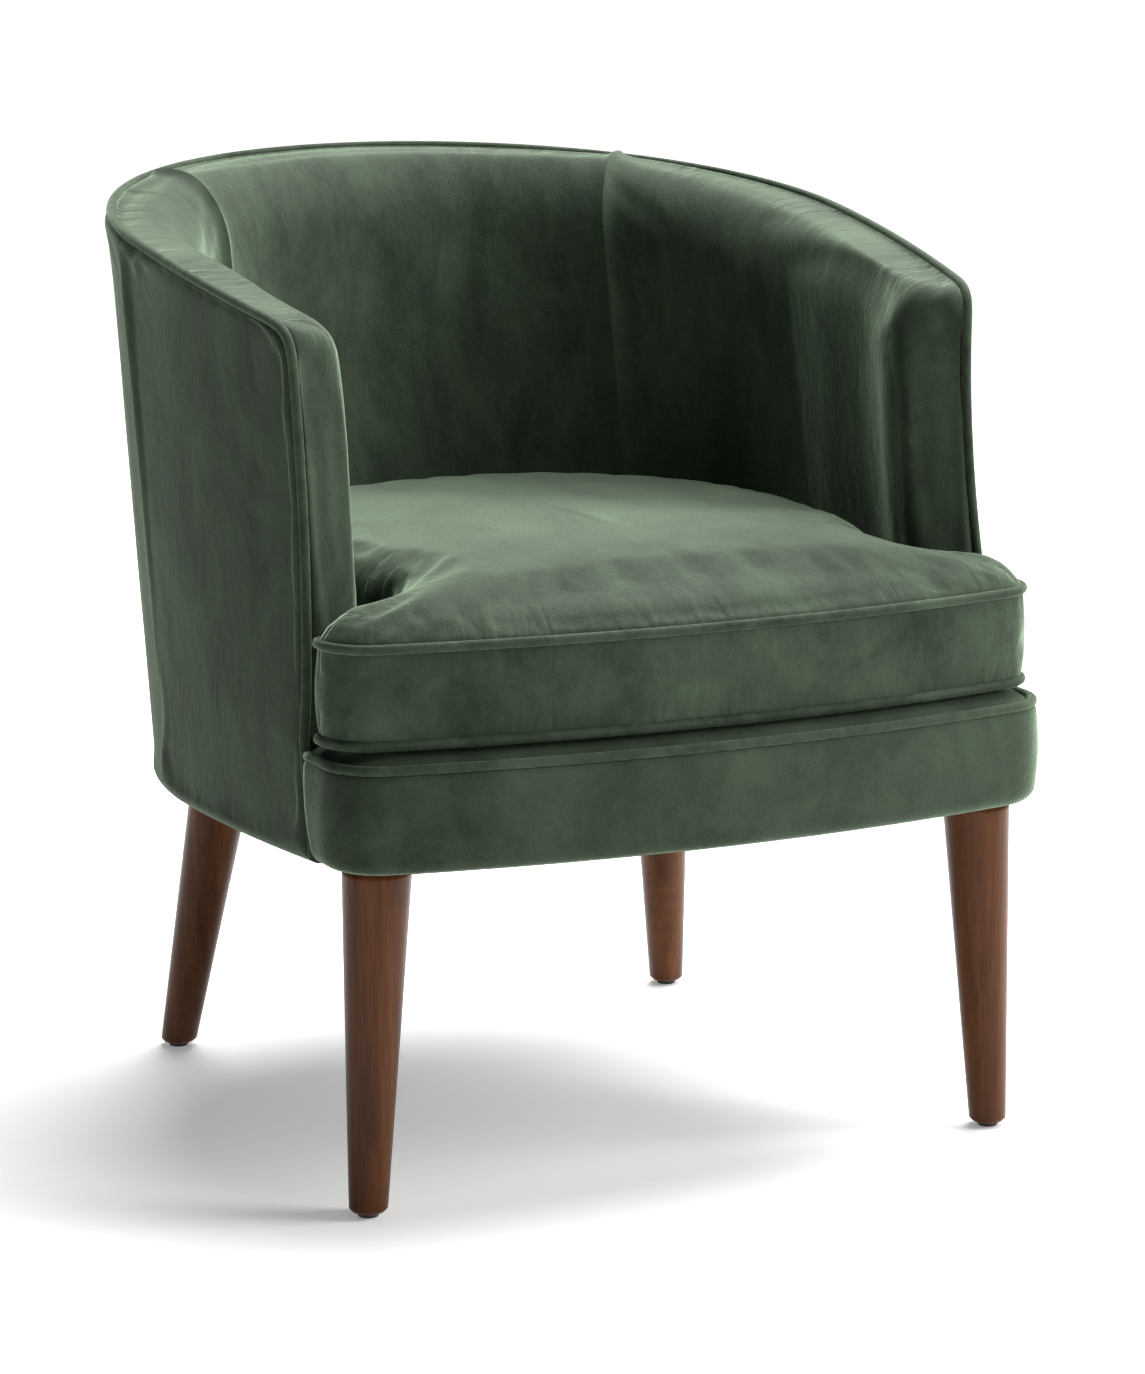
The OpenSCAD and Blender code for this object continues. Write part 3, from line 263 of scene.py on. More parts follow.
def front_y(v):
    lean = v * LEAN if v < 0 else 1 - (1 - min(v, 1)) ** LEAN
    return mix(BASE_Y - REACH_BASE, RIM_Y - REACH_TOP, lean)


def arm_reach(v):
    return mix(BASE_Y, RIM_Y, v) - front_y(v)


def arm_share(z):
    return (z - BASE_Z) / (RIM_FRONT - BASE_Z)


def behind_front(e, z):
    return 2 - e / arm_reach(arm_share(z))


# The arms are drawn in towards their front edge, most about halfway up
def waist(share, v):
    up = clamped((v - WAIST_LOW) / (1 - WAIST_LOW))
    return WAIST * max(share, 0) ** 2 * abs(math.sin(math.pi * up)) ** 0.7


def wall_point(q, z, d):
    a, side = abs(q), math.copysign(1, q)
    v = (z - BASE_Z) / (rim_z(q) - BASE_Z)
    r, y = mix(BASE_R, RIM_R, v), mix(BASE_Y, RIM_Y, v)
    if a <= 1:
        return (side * (r - d) * math.sin(math.pi / 2 * a), y + (r - d) * math.cos(math.pi / 2 * a), z)
    turn = math.asin((a - 1) * arm_reach(v) / SIDE_R)
    x = r - SIDE_R + (SIDE_R - d) * math.cos(turn) - waist(a - 1, v)
    return (side * x, y - (SIDE_R - d) * math.sin(turn), z)


def wall_depth(q, z):
    v = clamped((z - BASE_Z) / (rim_z(q) - BASE_Z))
    t = clamped(abs(q) - 1)
    return mix(WALL_BACK, mix(WALL_FOOT, WALL_TOP, v), t * t * (3 - 2 * t))


# Plan of the bowed front of the seat, set in by d, from the middle of the front to its right end
BOW, FRONT_STEPS, CORNER_STEPS = 1.4, 30, 12


def front_plan(d, half, front, corner, y_end):
    x, reach = half - corner, BOW - corner
    cy = front + BOW - math.sqrt(reach * reach - x * x)
    turn = math.asin(x / reach)
    points = []
    for i in range(FRONT_STEPS):
        a = turn * i / FRONT_STEPS
        points.append(((BOW - d) * math.sin(a), front + BOW - (BOW - d) * math.cos(a)))
    for i in range(CORNER_STEPS + 1):
        a = mix(turn, math.pi / 2, i / CORNER_STEPS)
        points.append((x + (corner - d) * math.sin(a), cy - (corner - d) * math.cos(a)))
    if y_end > cy:
        points += [(half - d, mix(cy, y_end, i / 4)) for i in range(1, 5)]
    return points


BORDER_FRONT, BORDER_CORNER = -0.384, 0.050
BORDER_HALF = wall_point(2, BASE_Z + 0.003, 0)[0]


def border_plan(d, y_end):
    return front_plan(d, BORDER_HALF, BORDER_FRONT, BORDER_CORNER, y_end)


def both_sides(right):
    return [(-p[0], *p[1:]) for p in reversed(right[1:])] + right


def linked(name, mesh):
    made = bpy.data.objects.new(name, mesh)
    bpy.context.scene.collection.objects.link(made)
    return made


# A piece from a grid of points, with the cloth's own measure along and across it kept as its UV, in metres
def sheet_piece(name, grid, closed=False):
    grid = np.asarray(grid, dtype=float)
    nu, nv = grid.shape[:2]
    last = nu if closed else nu - 1
    faces = [(i * nv + j, i * nv + j + 1, (i + 1) % nu * nv + j + 1, (i + 1) % nu * nv + j)
             for i in range(last) for j in range(nv - 1)]
    mesh = bpy.data.meshes.new(name)
    mesh.from_pydata(grid.reshape(-1, 3).tolist(), [], faces)
    middle = nv // 2
    along = np.concatenate([[0], np.cumsum(np.linalg.norm(np.diff(grid[:, middle], axis=0), axis=1))])
    across = np.concatenate([[0], np.cumsum(np.linalg.norm(np.diff(grid[nu // 2], axis=0), axis=1))])
    step = np.linalg.norm(grid[0, middle] - grid[-1, middle])
    uv = []
    for i in range(last):
        u0, u1 = along[i], along[i + 1] if i + 1 < nu else along[i] + step
        for j in range(nv - 1):
            uv += [u0, across[j], u0, across[j + 1], u1, across[j + 1], u1, across[j]]
    mesh.uv_layers.new(name="cloth").data.foreach_set("uv", uv)
    mesh.polygons.foreach_set("use_smooth", [True] * len(mesh.polygons))
    return linked(name, mesh)


def thickness(piece, depth, offset):
    solid = piece.modifiers.new("thickness", "SOLIDIFY")
    solid.thickness = depth
    solid.offset = offset


def subdivided(piece):
    made = piece.modifiers.new("subdivision", "SUBSURF")
    made.levels = made.render_levels = 1


# Velvet: short dense pile on a woven ground. Where a hand or the sewing has brushed the pile, it stands
# another way and takes the light differently, in soft streaks along the pile.
def velvet(name, dark, light, streak, sheen, pucker=None):
    material, shader = new_material(name)
    place = node(material, "ShaderNodeUVMap", {}, uv_map="cloth")
    streaks = noise_of(material, place, (streak[0], streak[1], 1), 6, 0.66, 0.5)
    patches = noise_of(material, place, (8, 5, 1), 3, 0.6, 0.8)
    mottling = noise_of(material, place, (75, 60, 1), 5, 0.72, 0.4)
    pile = noise_of(material, place, (620, 480, 1), 3, 0.65)
    both = node(material, "ShaderNodeMath", {0: streaks, 1: patches}, operation="ADD")
    both = node(material, "ShaderNodeMath", {0: both, 1: 0.36}, operation="MULTIPLY")
    both = node(material, "ShaderNodeMath", {0: mottling, 1: 0.13, 2: both}, operation="MULTIPLY_ADD")
    brushed = node(material, "ShaderNodeMath", {0: pile, 1: 0.18, 2: both}, operation="MULTIPLY_ADD")
    middle = [mix(a, b, 0.42) for a, b in zip(dark, light)]
    join_to(material, shader.inputs["Base Color"],
            ramp(material, brushed, [(0.41, dark), (0.51, middle), (0.65, light)]))
    lay = bump(material, both, 0.007, 0.5)
    if pucker:
        # Fine creases square to a seam, from the seam's own measure: u along it and v away from it
        measure, along, across, reach, depth = pucker
        beside = node(material, "ShaderNodeUVMap", {}, uv_map=measure)
        away = node(material, "ShaderNodeSeparateXYZ", {"Vector": beside}, "Y")
        folds = noise_of(material, beside, (along, across, 1), 2, 0.5, 0.2)
        folds = node(material, "ShaderNodeMath", {0: folds, 1: 0.5}, operation="SUBTRACT")
        folds = node(material, "ShaderNodeMath", {0: folds}, operation="ABSOLUTE")
        folds = node(material, "ShaderNodeMapRange", {"Value": folds, "From Max": 0.11},
                     interpolation_type="SMOOTHSTEP")
        fade = node(material, "ShaderNodeMapRange", {"Value": away, "From Max": reach, "To Min": 1.0,
                    "To Max": 0.0}, interpolation_type="SMOOTHSTEP")
        folds = node(material, "ShaderNodeMath", {0: folds, 1: fade}, operation="MULTIPLY")
        some = noise_of(material, beside, (13, 3, 1), 2, 0.5)
        some = node(material, "ShaderNodeMapRange", {"Value": some, "From Min": 0.40, "From Max": 0.62})
        folds = node(material, "ShaderNodeMath", {0: folds, 1: some}, operation="MULTIPLY")
        lay = bump(material, folds, depth, 1.0, lay)
    join_to(material, shader.inputs["Normal"], bump(material, pile, 0.0006, 0.75, lay))
    shader.inputs["Roughness"].default_value = 0.82
    shader.inputs["Specular IOR Level"].default_value = 0.22
    shader.inputs["Sheen Weight"].default_value = sheen
    shader.inputs["Sheen Roughness"].default_value = 0.30
    shader.inputs["Sheen Tint"].default_value = (0.66, 0.87, 0.62, 1)
    return material


DARK, LIGHT = (0.010, 0.018, 0.009), (0.044, 0.066, 0.040)
velvet_seat = velvet("velvet_seat", DARK, LIGHT, streak=(14, 14), sheen=0.9)

DECK_Z, SEAM_IN, SUNK = 0.3785, 0.0083, 0.0015
UNDER_ARM, BESIDE_ARM = -0.008, 0.002
inside = [wall_point(q, DECK_Z, wall_depth(q, DECK_Z) + BESIDE_ARM)[:2]
          for q in np.linspace(behind_front(UNDER_ARM, DECK_Z), 0, 60)]
arm_y = inside[0][1]
rows = [[(x, y, z) for x, y in both_sides(border_plan(d, arm_y))]
        for d, z in ((SEAM_IN, 0.3670), (0.014, 0.3705), (0.022, 0.3748), (0.034, 0.3783), (0.050, DECK_Z))]
# The slope runs on a little way under the flat part
rows.append([(x * 0.5, mix(y, -0.1, 0.5), DECK_Z - SUNK) for x, y, z in rows[-1]])
deck_cloth = sheet_piece("platform_cloth", np.array(rows).transpose(1, 0, 2)[::-1])
base = bmesh.new()
base.from_mesh(deck_cloth.data)
base.faces.new([base.verts.new((x, y, DECK_Z)) for x, y in both_sides(list(reversed(inside)))[1:-1]])
bmesh.ops.recalc_face_normals(base, faces=base.faces)
base.to_mesh(deck_cloth.data)
base.free()
measure = deck_cloth.data.uv_layers["cloth"]
for corner in deck_cloth.data.loops:
    measure.data[corner.index].uv = deck_cloth.data.vertices[corner.vertex_index].co.xy
deck_cloth.data.materials.append(velvet_seat)
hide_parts("deck_cloth", "deck_pad")
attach(deck_cloth, "chair")

# Inside back and inside arms. Three pieces of velvet, sewn together at two upright seams, are pulled over the
# padding and the rolled rim, pleated round the arms' front corners and stapled under the outside cover.

CORNER_POWER = 6


def run_to(q_front, q_end, arm, round_):
    arms = [mix(q_front, 1, i / arm) for i in range(arm)]
    n = max(int(math.ceil(round_ * (1 - q_end))), 1)
    return arms + [mix(1, q_end, i / n) for i in range(n + 1)]


# A sheet over one arm and half of the back: columns from the arm's front, rows from the rim. The first rings
# of both go round the edge and its corner, and profile gives their distance from the edge and their depth.
def arm_sheet(profile, q_end, z_low, rings, arm, round_, rows):
    columns = rings + len(run_to(2, q_end, arm, round_))
    grid = []
    for i in range(columns):
        column = []
        for j in range(rings + rows + 1):
            m = min(i, j, rings)
            px = 0 if m == rings else max(rings - i, 0) / (rings - m)
            py = 0 if m == rings else max(rings - j, 0) / (rings - m)
            curve = (px ** CORNER_POWER + py ** CORNER_POWER) ** (1 / CORNER_POWER) or 1
            swing = ROLL_DROP - profile(m / rings, WALL_BACK)[0]
            e_top = ROLL_DROP - swing * py / curve
            row = max(j - rings, 0) / rows
            v = arm_share(mix(RIM_FRONT - e_top, z_low, row))
            q_front = 2 - (ROLL_DROP - swing * px / curve) / arm_reach(v)
            q = run_to(q_front, q_end, arm, round_)[max(i - rings, 0)]
            z = mix(rim_z(q) - e_top, z_low, row)
            column.append(wall_point(q, z, profile(m / rings, wall_depth(q, z))[1]))
        grid.append(column)
    return np.array(grid)


def back_sheet(profile, q_end, z_low, rings, columns, rows):
    grid = []
    for i in range(columns + 1):
        q = mix(q_end, -q_end, i / columns)
        column = []
        for j in range(rings + rows + 1):
            w = min(j / rings, 1)
            e = profile(w, WALL_BACK)[0]
            z = mix(rim_z(q) - e, z_low, max(j - rings, 0) / rows)
            column.append(wall_point(q, z, profile(w, wall_depth(q, z))[1]))
        grid.append(column)
    return np.array(grid)


# The roll rises from the seam to its crest, then falls to the plain inside of the wall
UPHILL = 0.4


def roll_profile(w, t):
    if w < UPHILL:
        a = math.pi / 2 * w / UPHILL
        return (-ROLL_RISE * math.sin(a), ROLL_CREST - (ROLL_CREST - SEAM_IN) * math.cos(a))
    a = math.pi / 2 * (w - UPHILL) / (1 - UPHILL)
    return (mix(ROLL_DROP, -ROLL_RISE, math.cos(a)), ROLL_CREST + (t - ROLL_CREST) * math.sin(a))


def flipped(grid):
    return grid[::-1] * np.array([-1, 1, 1])


def normals_of(mesh):
    out = np.empty(len(mesh.vertices) * 3)
    mesh.vertex_normals.foreach_get("vector", out)
    return out.reshape(-1, 3)


def points_of(mesh):
    out = np.empty(len(mesh.vertices) * 3)
    mesh.vertices.foreach_get("co", out)
    return out.reshape(-1, 3)


def put_points(mesh, points):
    mesh.vertices.foreach_set("co", points.ravel())
    mesh.update()


# The filling swells against the cloth, which is held where held is 1 and moves by at most reach elsewhere.
# Spare cloth makes the puckers beside the seams.
def filled(piece, held, pressure, spare, reach, frames=16):
    start = points_of(piece.data)
    group = piece.vertex_groups.new(name="held")
    for k, weight in enumerate(held):
        if weight > 0:
            group.add([k], float(weight), "REPLACE")
    cloth = piece.modifiers.new("cloth", "CLOTH")
    settings = cloth.settings
    settings.quality = 6
    settings.mass = 0.25
    settings.tension_stiffness = settings.compression_stiffness = 18
    settings.shear_stiffness = 8
    settings.bending_stiffness = 0.6
    settings.use_pressure = True
    settings.uniform_pressure_force = pressure
    settings.shrink_min = -spare
    settings.vertex_group_mass = "held"
    settings.effector_weights.gravity = 0
    scene = bpy.context.scene
    cloth.point_cache.frame_start, cloth.point_cache.frame_end = 1, frames + 1
    for step in range(1, frames + 1):
        scene.frame_set(step)
    moved = points_of(piece.evaluated_get(bpy.context.evaluated_depsgraph_get()).data) - start
    piece.modifiers.remove(cloth)
    piece.vertex_groups.remove(group)
    scene.frame_set(1)
    length = np.linalg.norm(moved, axis=1, keepdims=True)
    put_points(piece.data, start + moved * np.minimum(1, reach / np.maximum(length, 1e-9)))


def noise_at(points, scale, seed):
    scale = Vector(scale)
    return np.array([noise.noise(Vector(p) * scale + Vector((seed, seed, seed))) for p in points.tolist()])


# Short gathers across the rolled rim, strongest beside the piping. They fan out round the arm's front corner.
GATHERS = 0.0011


def gathered(piece, u, v):
    points, normals = points_of(piece.data), normals_of(piece.data)
    place = np.stack([u, v, np.zeros_like(u)], axis=1)
    wave = noise_at(place, (1 / 0.017, 1 / 0.070, 1), 3) + 0.5 * noise_at(place, (1 / 0.008, 1 / 0.03, 1), 7)
    fade = np.clip(v / 0.008, 0, 1) * np.exp(-np.maximum(v - 0.012, 0) / 0.045)
    fade *= np.clip(0.45 + 1.5 * noise_at(place, (1 / 0.12, 1 / 0.2, 1), 21), 0, 1)
    put_points(piece.data, points + normals * (wave * fade * GATHERS)[:, None])


# The rolled front of an arm is stuffed round, more so above the cushion, and so is its inner shoulder. The
# cloth sinks into each upright seam. u is measured from the arm's front, or from the back's left end.
RIM_SWELL, FRONT_SWELL, SHOULDER_SWELL = 0.0016, 0.0050, 0.0085
SEAM_SINK, SEAM_WIDTH = 0.0045, 0.0040


def unit(t):
    return np.clip(t, 0, 1)


def bell(t):
    return np.sin(math.pi * unit(t)) ** 2


def fuller(piece, u, v, ends):
    points, normals = points_of(piece.data), normals_of(piece.data)
    z = points[:, 2]
    swell = RIM_SWELL * bell(v / 0.12)
    if piece.name != "inside_back":
        swell += FRONT_SWELL * unit((z - 0.455) / 0.07) * unit(v / 0.05) * bell(u / 0.070)
        swell += SHOULDER_SWELL * unit((z - 0.38) / 0.06) * unit(v / 0.10) * bell((u - 0.01) / 0.23)
    for end in ends:
        swell -= SEAM_SINK * np.exp(-(np.abs(end - u) / SEAM_WIDTH) ** 1.5) * unit(v / 0.006)
    put_points(piece.data, points + normals * swell[:, None])


velvet_inside = velvet("velvet_inside", DARK, LIGHT, streak=(24, 8), sheen=1.0,
                       pucker=("cloth", 38, 7, 0.080, 0.0012))
INSIDE_LOW, SEAM_SHARE = 0.3795, 0.5
inside_rings, inside_rows = 16, 52
pieces = {
    "inside_back": back_sheet(roll_profile, SEAM_SHARE, INSIDE_LOW, inside_rings, 64, inside_rows),
    "inside_arm_right": arm_sheet(roll_profile, SEAM_SHARE, INSIDE_LOW, inside_rings, 38, 62, inside_rows),
}
pieces["inside_arm_left"] = flipped(pieces["inside_arm_right"])
for name, grid in pieces.items():
    nu, nv = grid.shape[:2]
    piece = sheet_piece(name, grid)
    held = np.zeros((nu, nv))
    held[:, 0] = held[:, -1] = 1
    held[0] = held[-1] = 1
    held[:, -6:] = 1
    filled(piece, held.ravel(), pressure=2.0, spare=0.0, reach=0.004)
    uv = np.cumsum(np.linalg.norm(np.diff(grid, axis=0), axis=2), axis=0)
    u = np.concatenate([np.zeros((1, nv)), uv]).ravel()
    across = np.cumsum(np.linalg.norm(np.diff(grid, axis=1), axis=2), axis=1)
    v = np.concatenate([np.zeros((nu, 1)), across], axis=1).ravel()
    total = np.tile(uv[-1], nu)
    ends = (np.zeros_like(total), total) if name == "inside_back" else (total,)
    fuller(piece, total - u if name == "inside_arm_left" else u, v, ends)
    gathered(piece, u, v)
    subdivided(piece)
    piece.data.materials.append(velvet_inside)
    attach(piece, "chair")
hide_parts("inside_back_cover", "back_padding")
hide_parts("inside_arm_cover_left", "arm_padding_left")
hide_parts("inside_arm_cover_right", "arm_padding_right")

# Rim piping. A cord in a bias strip of the same velvet, sewn up one arm's front edge, round the rim and down
# the other arm.
CORD_SIDES = 16


def cord_piece(name, path, towards, closed=False):
    path, towards = np.asarray(path, dtype=float), np.asarray(towards, dtype=float)
    after = np.roll(path, -1, axis=0) - np.roll(path, 1, axis=0)
    if not closed:
        after[0], after[-1] = path[1] - path[0], path[-1] - path[-2]
    after /= np.linalg.norm(after, axis=1, keepdims=True)
    up = towards - after * np.sum(towards * after, axis=1, keepdims=True)
    up /= np.linalg.norm(up, axis=1, keepdims=True)
    side = np.cross(after, up)
    a = np.linspace(0, 2 * math.pi, CORD_SIDES + 1)[None, :, None]
    grid = path[:, None] + PIPING * (np.cos(a) * up[:, None] + np.sin(a) * side[:, None])
    piece = sheet_piece(name, grid, closed)
    base = bmesh.new()
    base.from_mesh(piece.data)
    bmesh.ops.remove_doubles(base, verts=base.verts, dist=1e-6)
    if not closed:
        bmesh.ops.holes_fill(base, edges=[e for e in base.edges if e.is_boundary], sides=0)
    bmesh.ops.recalc_face_normals(base, faces=base.faces)
    base.to_mesh(piece.data)
    base.free()
    piece.data.polygons.foreach_set("use_smooth", [True] * len(piece.data.polygons))
    return piece


def plain(e, d):
    return lambda w, t: (mix(e, ROLL_DROP, w), d)


def edge_of(d):
    half = arm_sheet(plain(0, d), 0, BASE_Z + PIPING, 40, 50, 90, 60)
    return np.concatenate([half[0][::-1], half[1:, 0]])


outer, inner = edge_of(0), edge_of(2 * PIPING)
path, towards = (outer + inner) / 2, outer - inner
mirror = np.array([-1, 1, 1])
path = np.concatenate([path, path[-2::-1] * mirror])
towards = np.concatenate([towards, towards[-2::-1] * mirror])
velvet_piping = velvet("velvet_piping", DARK, LIGHT, streak=(60, 60), sheen=0.6)
rim_piping = cord_piece("rim_piping_cord", path, towards)
rim_piping.data.materials.append(velvet_piping)
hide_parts("rim_piping")
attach(rim_piping, "chair")

# Outside cover. One piece of velvet with wadding is drawn tight round the shell, sewn under the rim piping
# and turned under the rails at its lower edge.
velvet_shell = velvet("velvet_shell", DARK, LIGHT, streak=(17, 7), sheen=0.5)

# Rows of depth and height round the lower edge, which is rounded over the rail
HEM_R = 0.014


def hem_rows():
    turn = [math.pi / 2 * i / 8 for i in range(1, 9)]
    rows = [(HEM_R - HEM_R * math.cos(a), BASE_Z + HEM_R - HEM_R * math.sin(a)) for a in turn]
    return rows + [(0.020, BASE_Z), (0.028, BASE_Z + 0.0006)]


# The cloth curves in under the cord, and swells a little below it over its wadding
UNDER_CORD, TUCK_DEPTH, TUCK_RUN, WADDING = PIPING + 0.0002, 0.0036, 0.0019, 0.0008
outside_rings, outside_arm, outside_round = 14, 40, 90


def tuck(e):
    return TUCK_DEPTH * math.exp(-(e - UNDER_CORD) / TUCK_RUN)


def tucked(w, t):
    e = mix(UNDER_CORD, ROLL_DROP, w * w)
    return (e, tuck(e) - WADDING * math.sin(math.pi * w))


half = arm_sheet(tucked, 0, BASE_Z + HEM_R, outside_rings, outside_arm, outside_round, 46)
grid = []
for i, column in enumerate(half):
    behind = mix(UNDER_CORD, ROLL_DROP, min(i / outside_rings, 1) ** 2)
    column = list(column)
    for d, z in hem_rows():
        q = run_to(behind_front(behind, z), 0, outside_arm, outside_round)[max(i - outside_rings, 0)]
        column.append(wall_point(q, z, max(tuck(behind), d)))
    grid.append(column)
grid = np.array(grid)
grid = np.concatenate([grid, grid[-2::-1] * mirror])
outside_cover = sheet_piece("outside_velvet", grid[::-1])
held = np.zeros(grid.shape[:2])
held[:, 0] = 1
held[0] = held[-1] = 1
held[:, -9:] = 1
filled(outside_cover, held.ravel(), pressure=1.2, spare=0.004, reach=0.003)
subdivided(outside_cover)
thickness(outside_cover, 0.002, -1)
outside_cover.data.materials.append(velvet_shell)
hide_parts("outside_cover")
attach(outside_cover, "chair")

# Front border. Velvet over a thin pad on the bowed front rail, with a line of piping along its upper edge,
# where the platform cloth begins.
BORDER_TOP, BORDER_SWELL, BORDER_CORD_Z, ARM_GAP = 0.358, 0.0018, 0.367, 0.0043


def border_line(d, z):
    return both_sides(border_plan(d, front_y(arm_share(z)) - ARM_GAP))


rows = [(0.0022, 0.3637), (0.0008, 0.3612), (0.0, BORDER_TOP)]
for i in range(1, 21):
    rows.append((-BORDER_SWELL * math.sin(math.pi * i / 20), mix(BORDER_TOP, BASE_Z + HEM_R, i / 20)))
rows += hem_rows()
grid = [[(x, y, z) for x, y in border_line(d, z)] for d, z in rows]
front_border = sheet_piece("front_border_velvet", np.array(grid).transpose(1, 0, 2))
subdivided(front_border)
thickness(front_border, 0.002, -1)
front_border.data.materials.append(velvet_seat)
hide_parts("front_border_cover", "rail_padding")
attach(front_border, "chair")

path = border_line(PIPING, BORDER_TOP + 0.003)
border_piping = cord_piece("border_piping_cord", [(x, y, BORDER_CORD_Z) for x, y in path],
                           [(0, 0, 1)] * len(path))
border_piping.data.materials.append(velvet_piping)
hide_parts("front_border_piping")
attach(border_piping, "chair")

# Dust cover. A black non-woven cloth is stapled under the rails all round and hides springs and webbing.
DUST_IN, DUST_Z, DUST_SAG = 0.015, 0.2823, 0.0022
right = border_plan(DUST_IN, front_y(0))
right += [wall_point(q, BASE_Z, DUST_IN)[:2] for q in np.linspace(1.97, 0, 60)]
loop = np.array(right + [(-x, y) for x, y in reversed(right[1:-1])])
middle = np.array([0, -0.05])
grid = []
for inwards in (0.0, 0.012, 0.03, 0.08, 0.18, 0.35, 0.6, 0.85, 0.98):
    sag = DUST_SAG * math.sin(math.pi / 2 * min(inwards / 0.35, 1)) ** 2
    ring = loop + (middle - loop) * inwards
    grid.append([(x, y, DUST_Z - sag) for x, y in ring])
dust_cover = sheet_piece("dust_cloth", np.array(grid).transpose(1, 0, 2), closed=True)
thickness(dust_cover, 0.0006, 0)
non_woven, shader = new_material("non_woven_black")
place = place_of(non_woven)
fibres = noise_of(non_woven, place, (380, 380, 380), 6, 0.75, 1.5)
dimples = node(non_woven, "ShaderNodeTexVoronoi", {"Vector": place, "Scale": 420.0})
join_to(non_woven, shader.inputs["Base Color"],
        ramp(non_woven, fibres, [(0.3, (0.010, 0.010, 0.011)), (0.7, (0.035, 0.035, 0.037))]))
join_to(non_woven, shader.inputs["Normal"], bump(non_woven, dimples, 0.0002, 0.6))
shader.inputs["Roughness"].default_value = 0.85
dust_cover.data.materials.append(non_woven)
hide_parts("dust_cover")
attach(dust_cover, "chair")

# Legs. Four turned walnut legs, tapered to the foot and splayed, with a small chamfer round the foot and a
# nailed plastic glide under it. The bolt in each goes up into a corner block.
GLIDE_TOP, LEG_TOP = 0.004, 0.2814
FOOT_R, TOP_R, LEG_SIDES = 0.0155, 0.028, 72
CHAMFER, CHAMFER_RISE, FOOT_EDGE = 0.0026, 0.0030, 0.0006
walnut = wood("walnut", (0.050, 0.016, 0.004), (0.135, 0.046, 0.012), 0.32)


# A leg is turned ring by ring. It is splayed and sawn off level, so each ring is longer along the splay
def turned_leg(name, foot, top):
    foot, top = np.array(foot), np.array(top)
    rise, splay = LEG_TOP - GLIDE_TOP, np.linalg.norm(top - foot)
    a = np.linspace(0, 2 * math.pi, LEG_SIDES + 1)
    ring = np.stack([np.cos(a), np.sin(a)], axis=1)
    ring *= 1 + (math.hypot(rise, splay) / rise - 1) * (ring @ (top - foot)[:, None] / splay) ** 2
    grid = []
    for h in [0, 0.0004, 0.0012, 0.0028, 0.0036, 0.0050] + [mix(0.008, rise, i / 40) for i in range(41)]:
        r = mix(FOOT_R, TOP_R, h / rise) - max(CHAMFER * (1 - h / CHAMFER_RISE), 0) - FOOT_EDGE * (h == 0)
        grid.append([(x, y, GLIDE_TOP + h) for x, y in mix(foot, top, h / rise) + r * ring])
    piece = sheet_piece(name, np.array(grid))
    base = bmesh.new()
    base.from_mesh(piece.data)
    bmesh.ops.remove_doubles(base, verts=base.verts, dist=1e-6)
    bmesh.ops.holes_fill(base, edges=[e for e in base.edges if e.is_boundary], sides=0)
    bmesh.ops.recalc_face_normals(base, faces=base.faces)
    for face in base.faces:
        face.smooth = len(face.verts) == 4
    base.to_mesh(piece.data)
    base.free()
    piece.data.materials.append(walnut)
    return piece


for name, foot, top in (("front_right", (0.2838, -0.312), (0.2708, -0.305)),
                        ("back_right", (0.2448, 0.2116), (0.2121, 0.1637)),
                        ("front_left", (-0.2838, -0.312), (-0.2708, -0.305)),
                        ("back_left", (-0.2448, 0.2116), (-0.2121, 0.1637))):
    made = turned_leg("turned_leg_" + name, foot, top)
    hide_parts("leg_" + name)
    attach(made, "chair")

nylon, shader = new_material("nylon_black")
scuffs = noise_of(nylon, place_of(nylon), (700, 700, 700), 4, 0.6)
join_to(nylon, shader.inputs["Base Color"],
        ramp(nylon, scuffs, [(0.35, (0.012, 0.012, 0.013)), (0.70, (0.030, 0.029, 0.028))]))
join_to(nylon, shader.inputs["Roughness"],
        node(nylon, "ShaderNodeMapRange", {"Value": scuffs, "To Min": 0.35, "To Max": 0.6}))
dressed(nylon, "glide_front_left", "glide_front_right", "glide_back_left", "glide_back_right")

# Seat cushion. A T-shaped foam core with a crown of wadding in a sewn velvet case: top and bottom panels, a
# boxing strip round the side, a line of piping in each of the two seams.
# The case is the same velvet as the wall, painted about a tenth lighter: painted light for the brighter light
# that falls on the cushion's top.
PAINTED_LIT_CASE_DARK, PAINTED_LIT_CASE_LIGHT = (0.011, 0.020, 0.010), (0.050, 0.075, 0.046)
velvet_cushion = velvet("velvet_cushion", PAINTED_LIT_CASE_DARK, PAINTED_LIT_CASE_LIGHT, streak=(15, 15), sheen=1.0,
                        pucker=("seam", 40, 9, 0.045, 0.0008))
SEAT_LOW, SEAM_LOW, SEAM_HIGH = 0.3789, 0.3829, 0.4589
CROWN_FRONT, CROWN_BACK, BULGE, UNDERSIDE = 0.055, 0.039, 0.003, 0.0032
HALF, FRONT, CORNER = 0.316, -0.366, 0.044
WING_R, NOTCH_R = 0.014, 0.048
BACK_C, BACK_RAD = -0.0317, 0.2568
WING_Y = front_y(arm_share(SEAT_LOW)) - 0.010
BESIDE_CUSHION = 0.004


def inner_x(y, z):
    v = arm_share(z)
    l = mix(BASE_Y, RIM_Y, v) - y
    r = mix(BASE_R, RIM_R, v)
    if l < 0:
        return math.sqrt((r - WALL_BACK) ** 2 - l * l)
    t = clamped(l / arm_reach(v))
    depth = mix(WALL_BACK, mix(WALL_FOOT, WALL_TOP, clamped(v)), t * t * (3 - 2 * t))
    return r - SIDE_R + math.sqrt(SIDE_R * SIDE_R - l * l) - depth - waist(t, v)


def cushion_side(y):
    return min(inner_x(y, mix(SEAM_LOW, RIM_FRONT - ROLL_DROP, i / 4)) for i in range(5)) - BESIDE_CUSHION


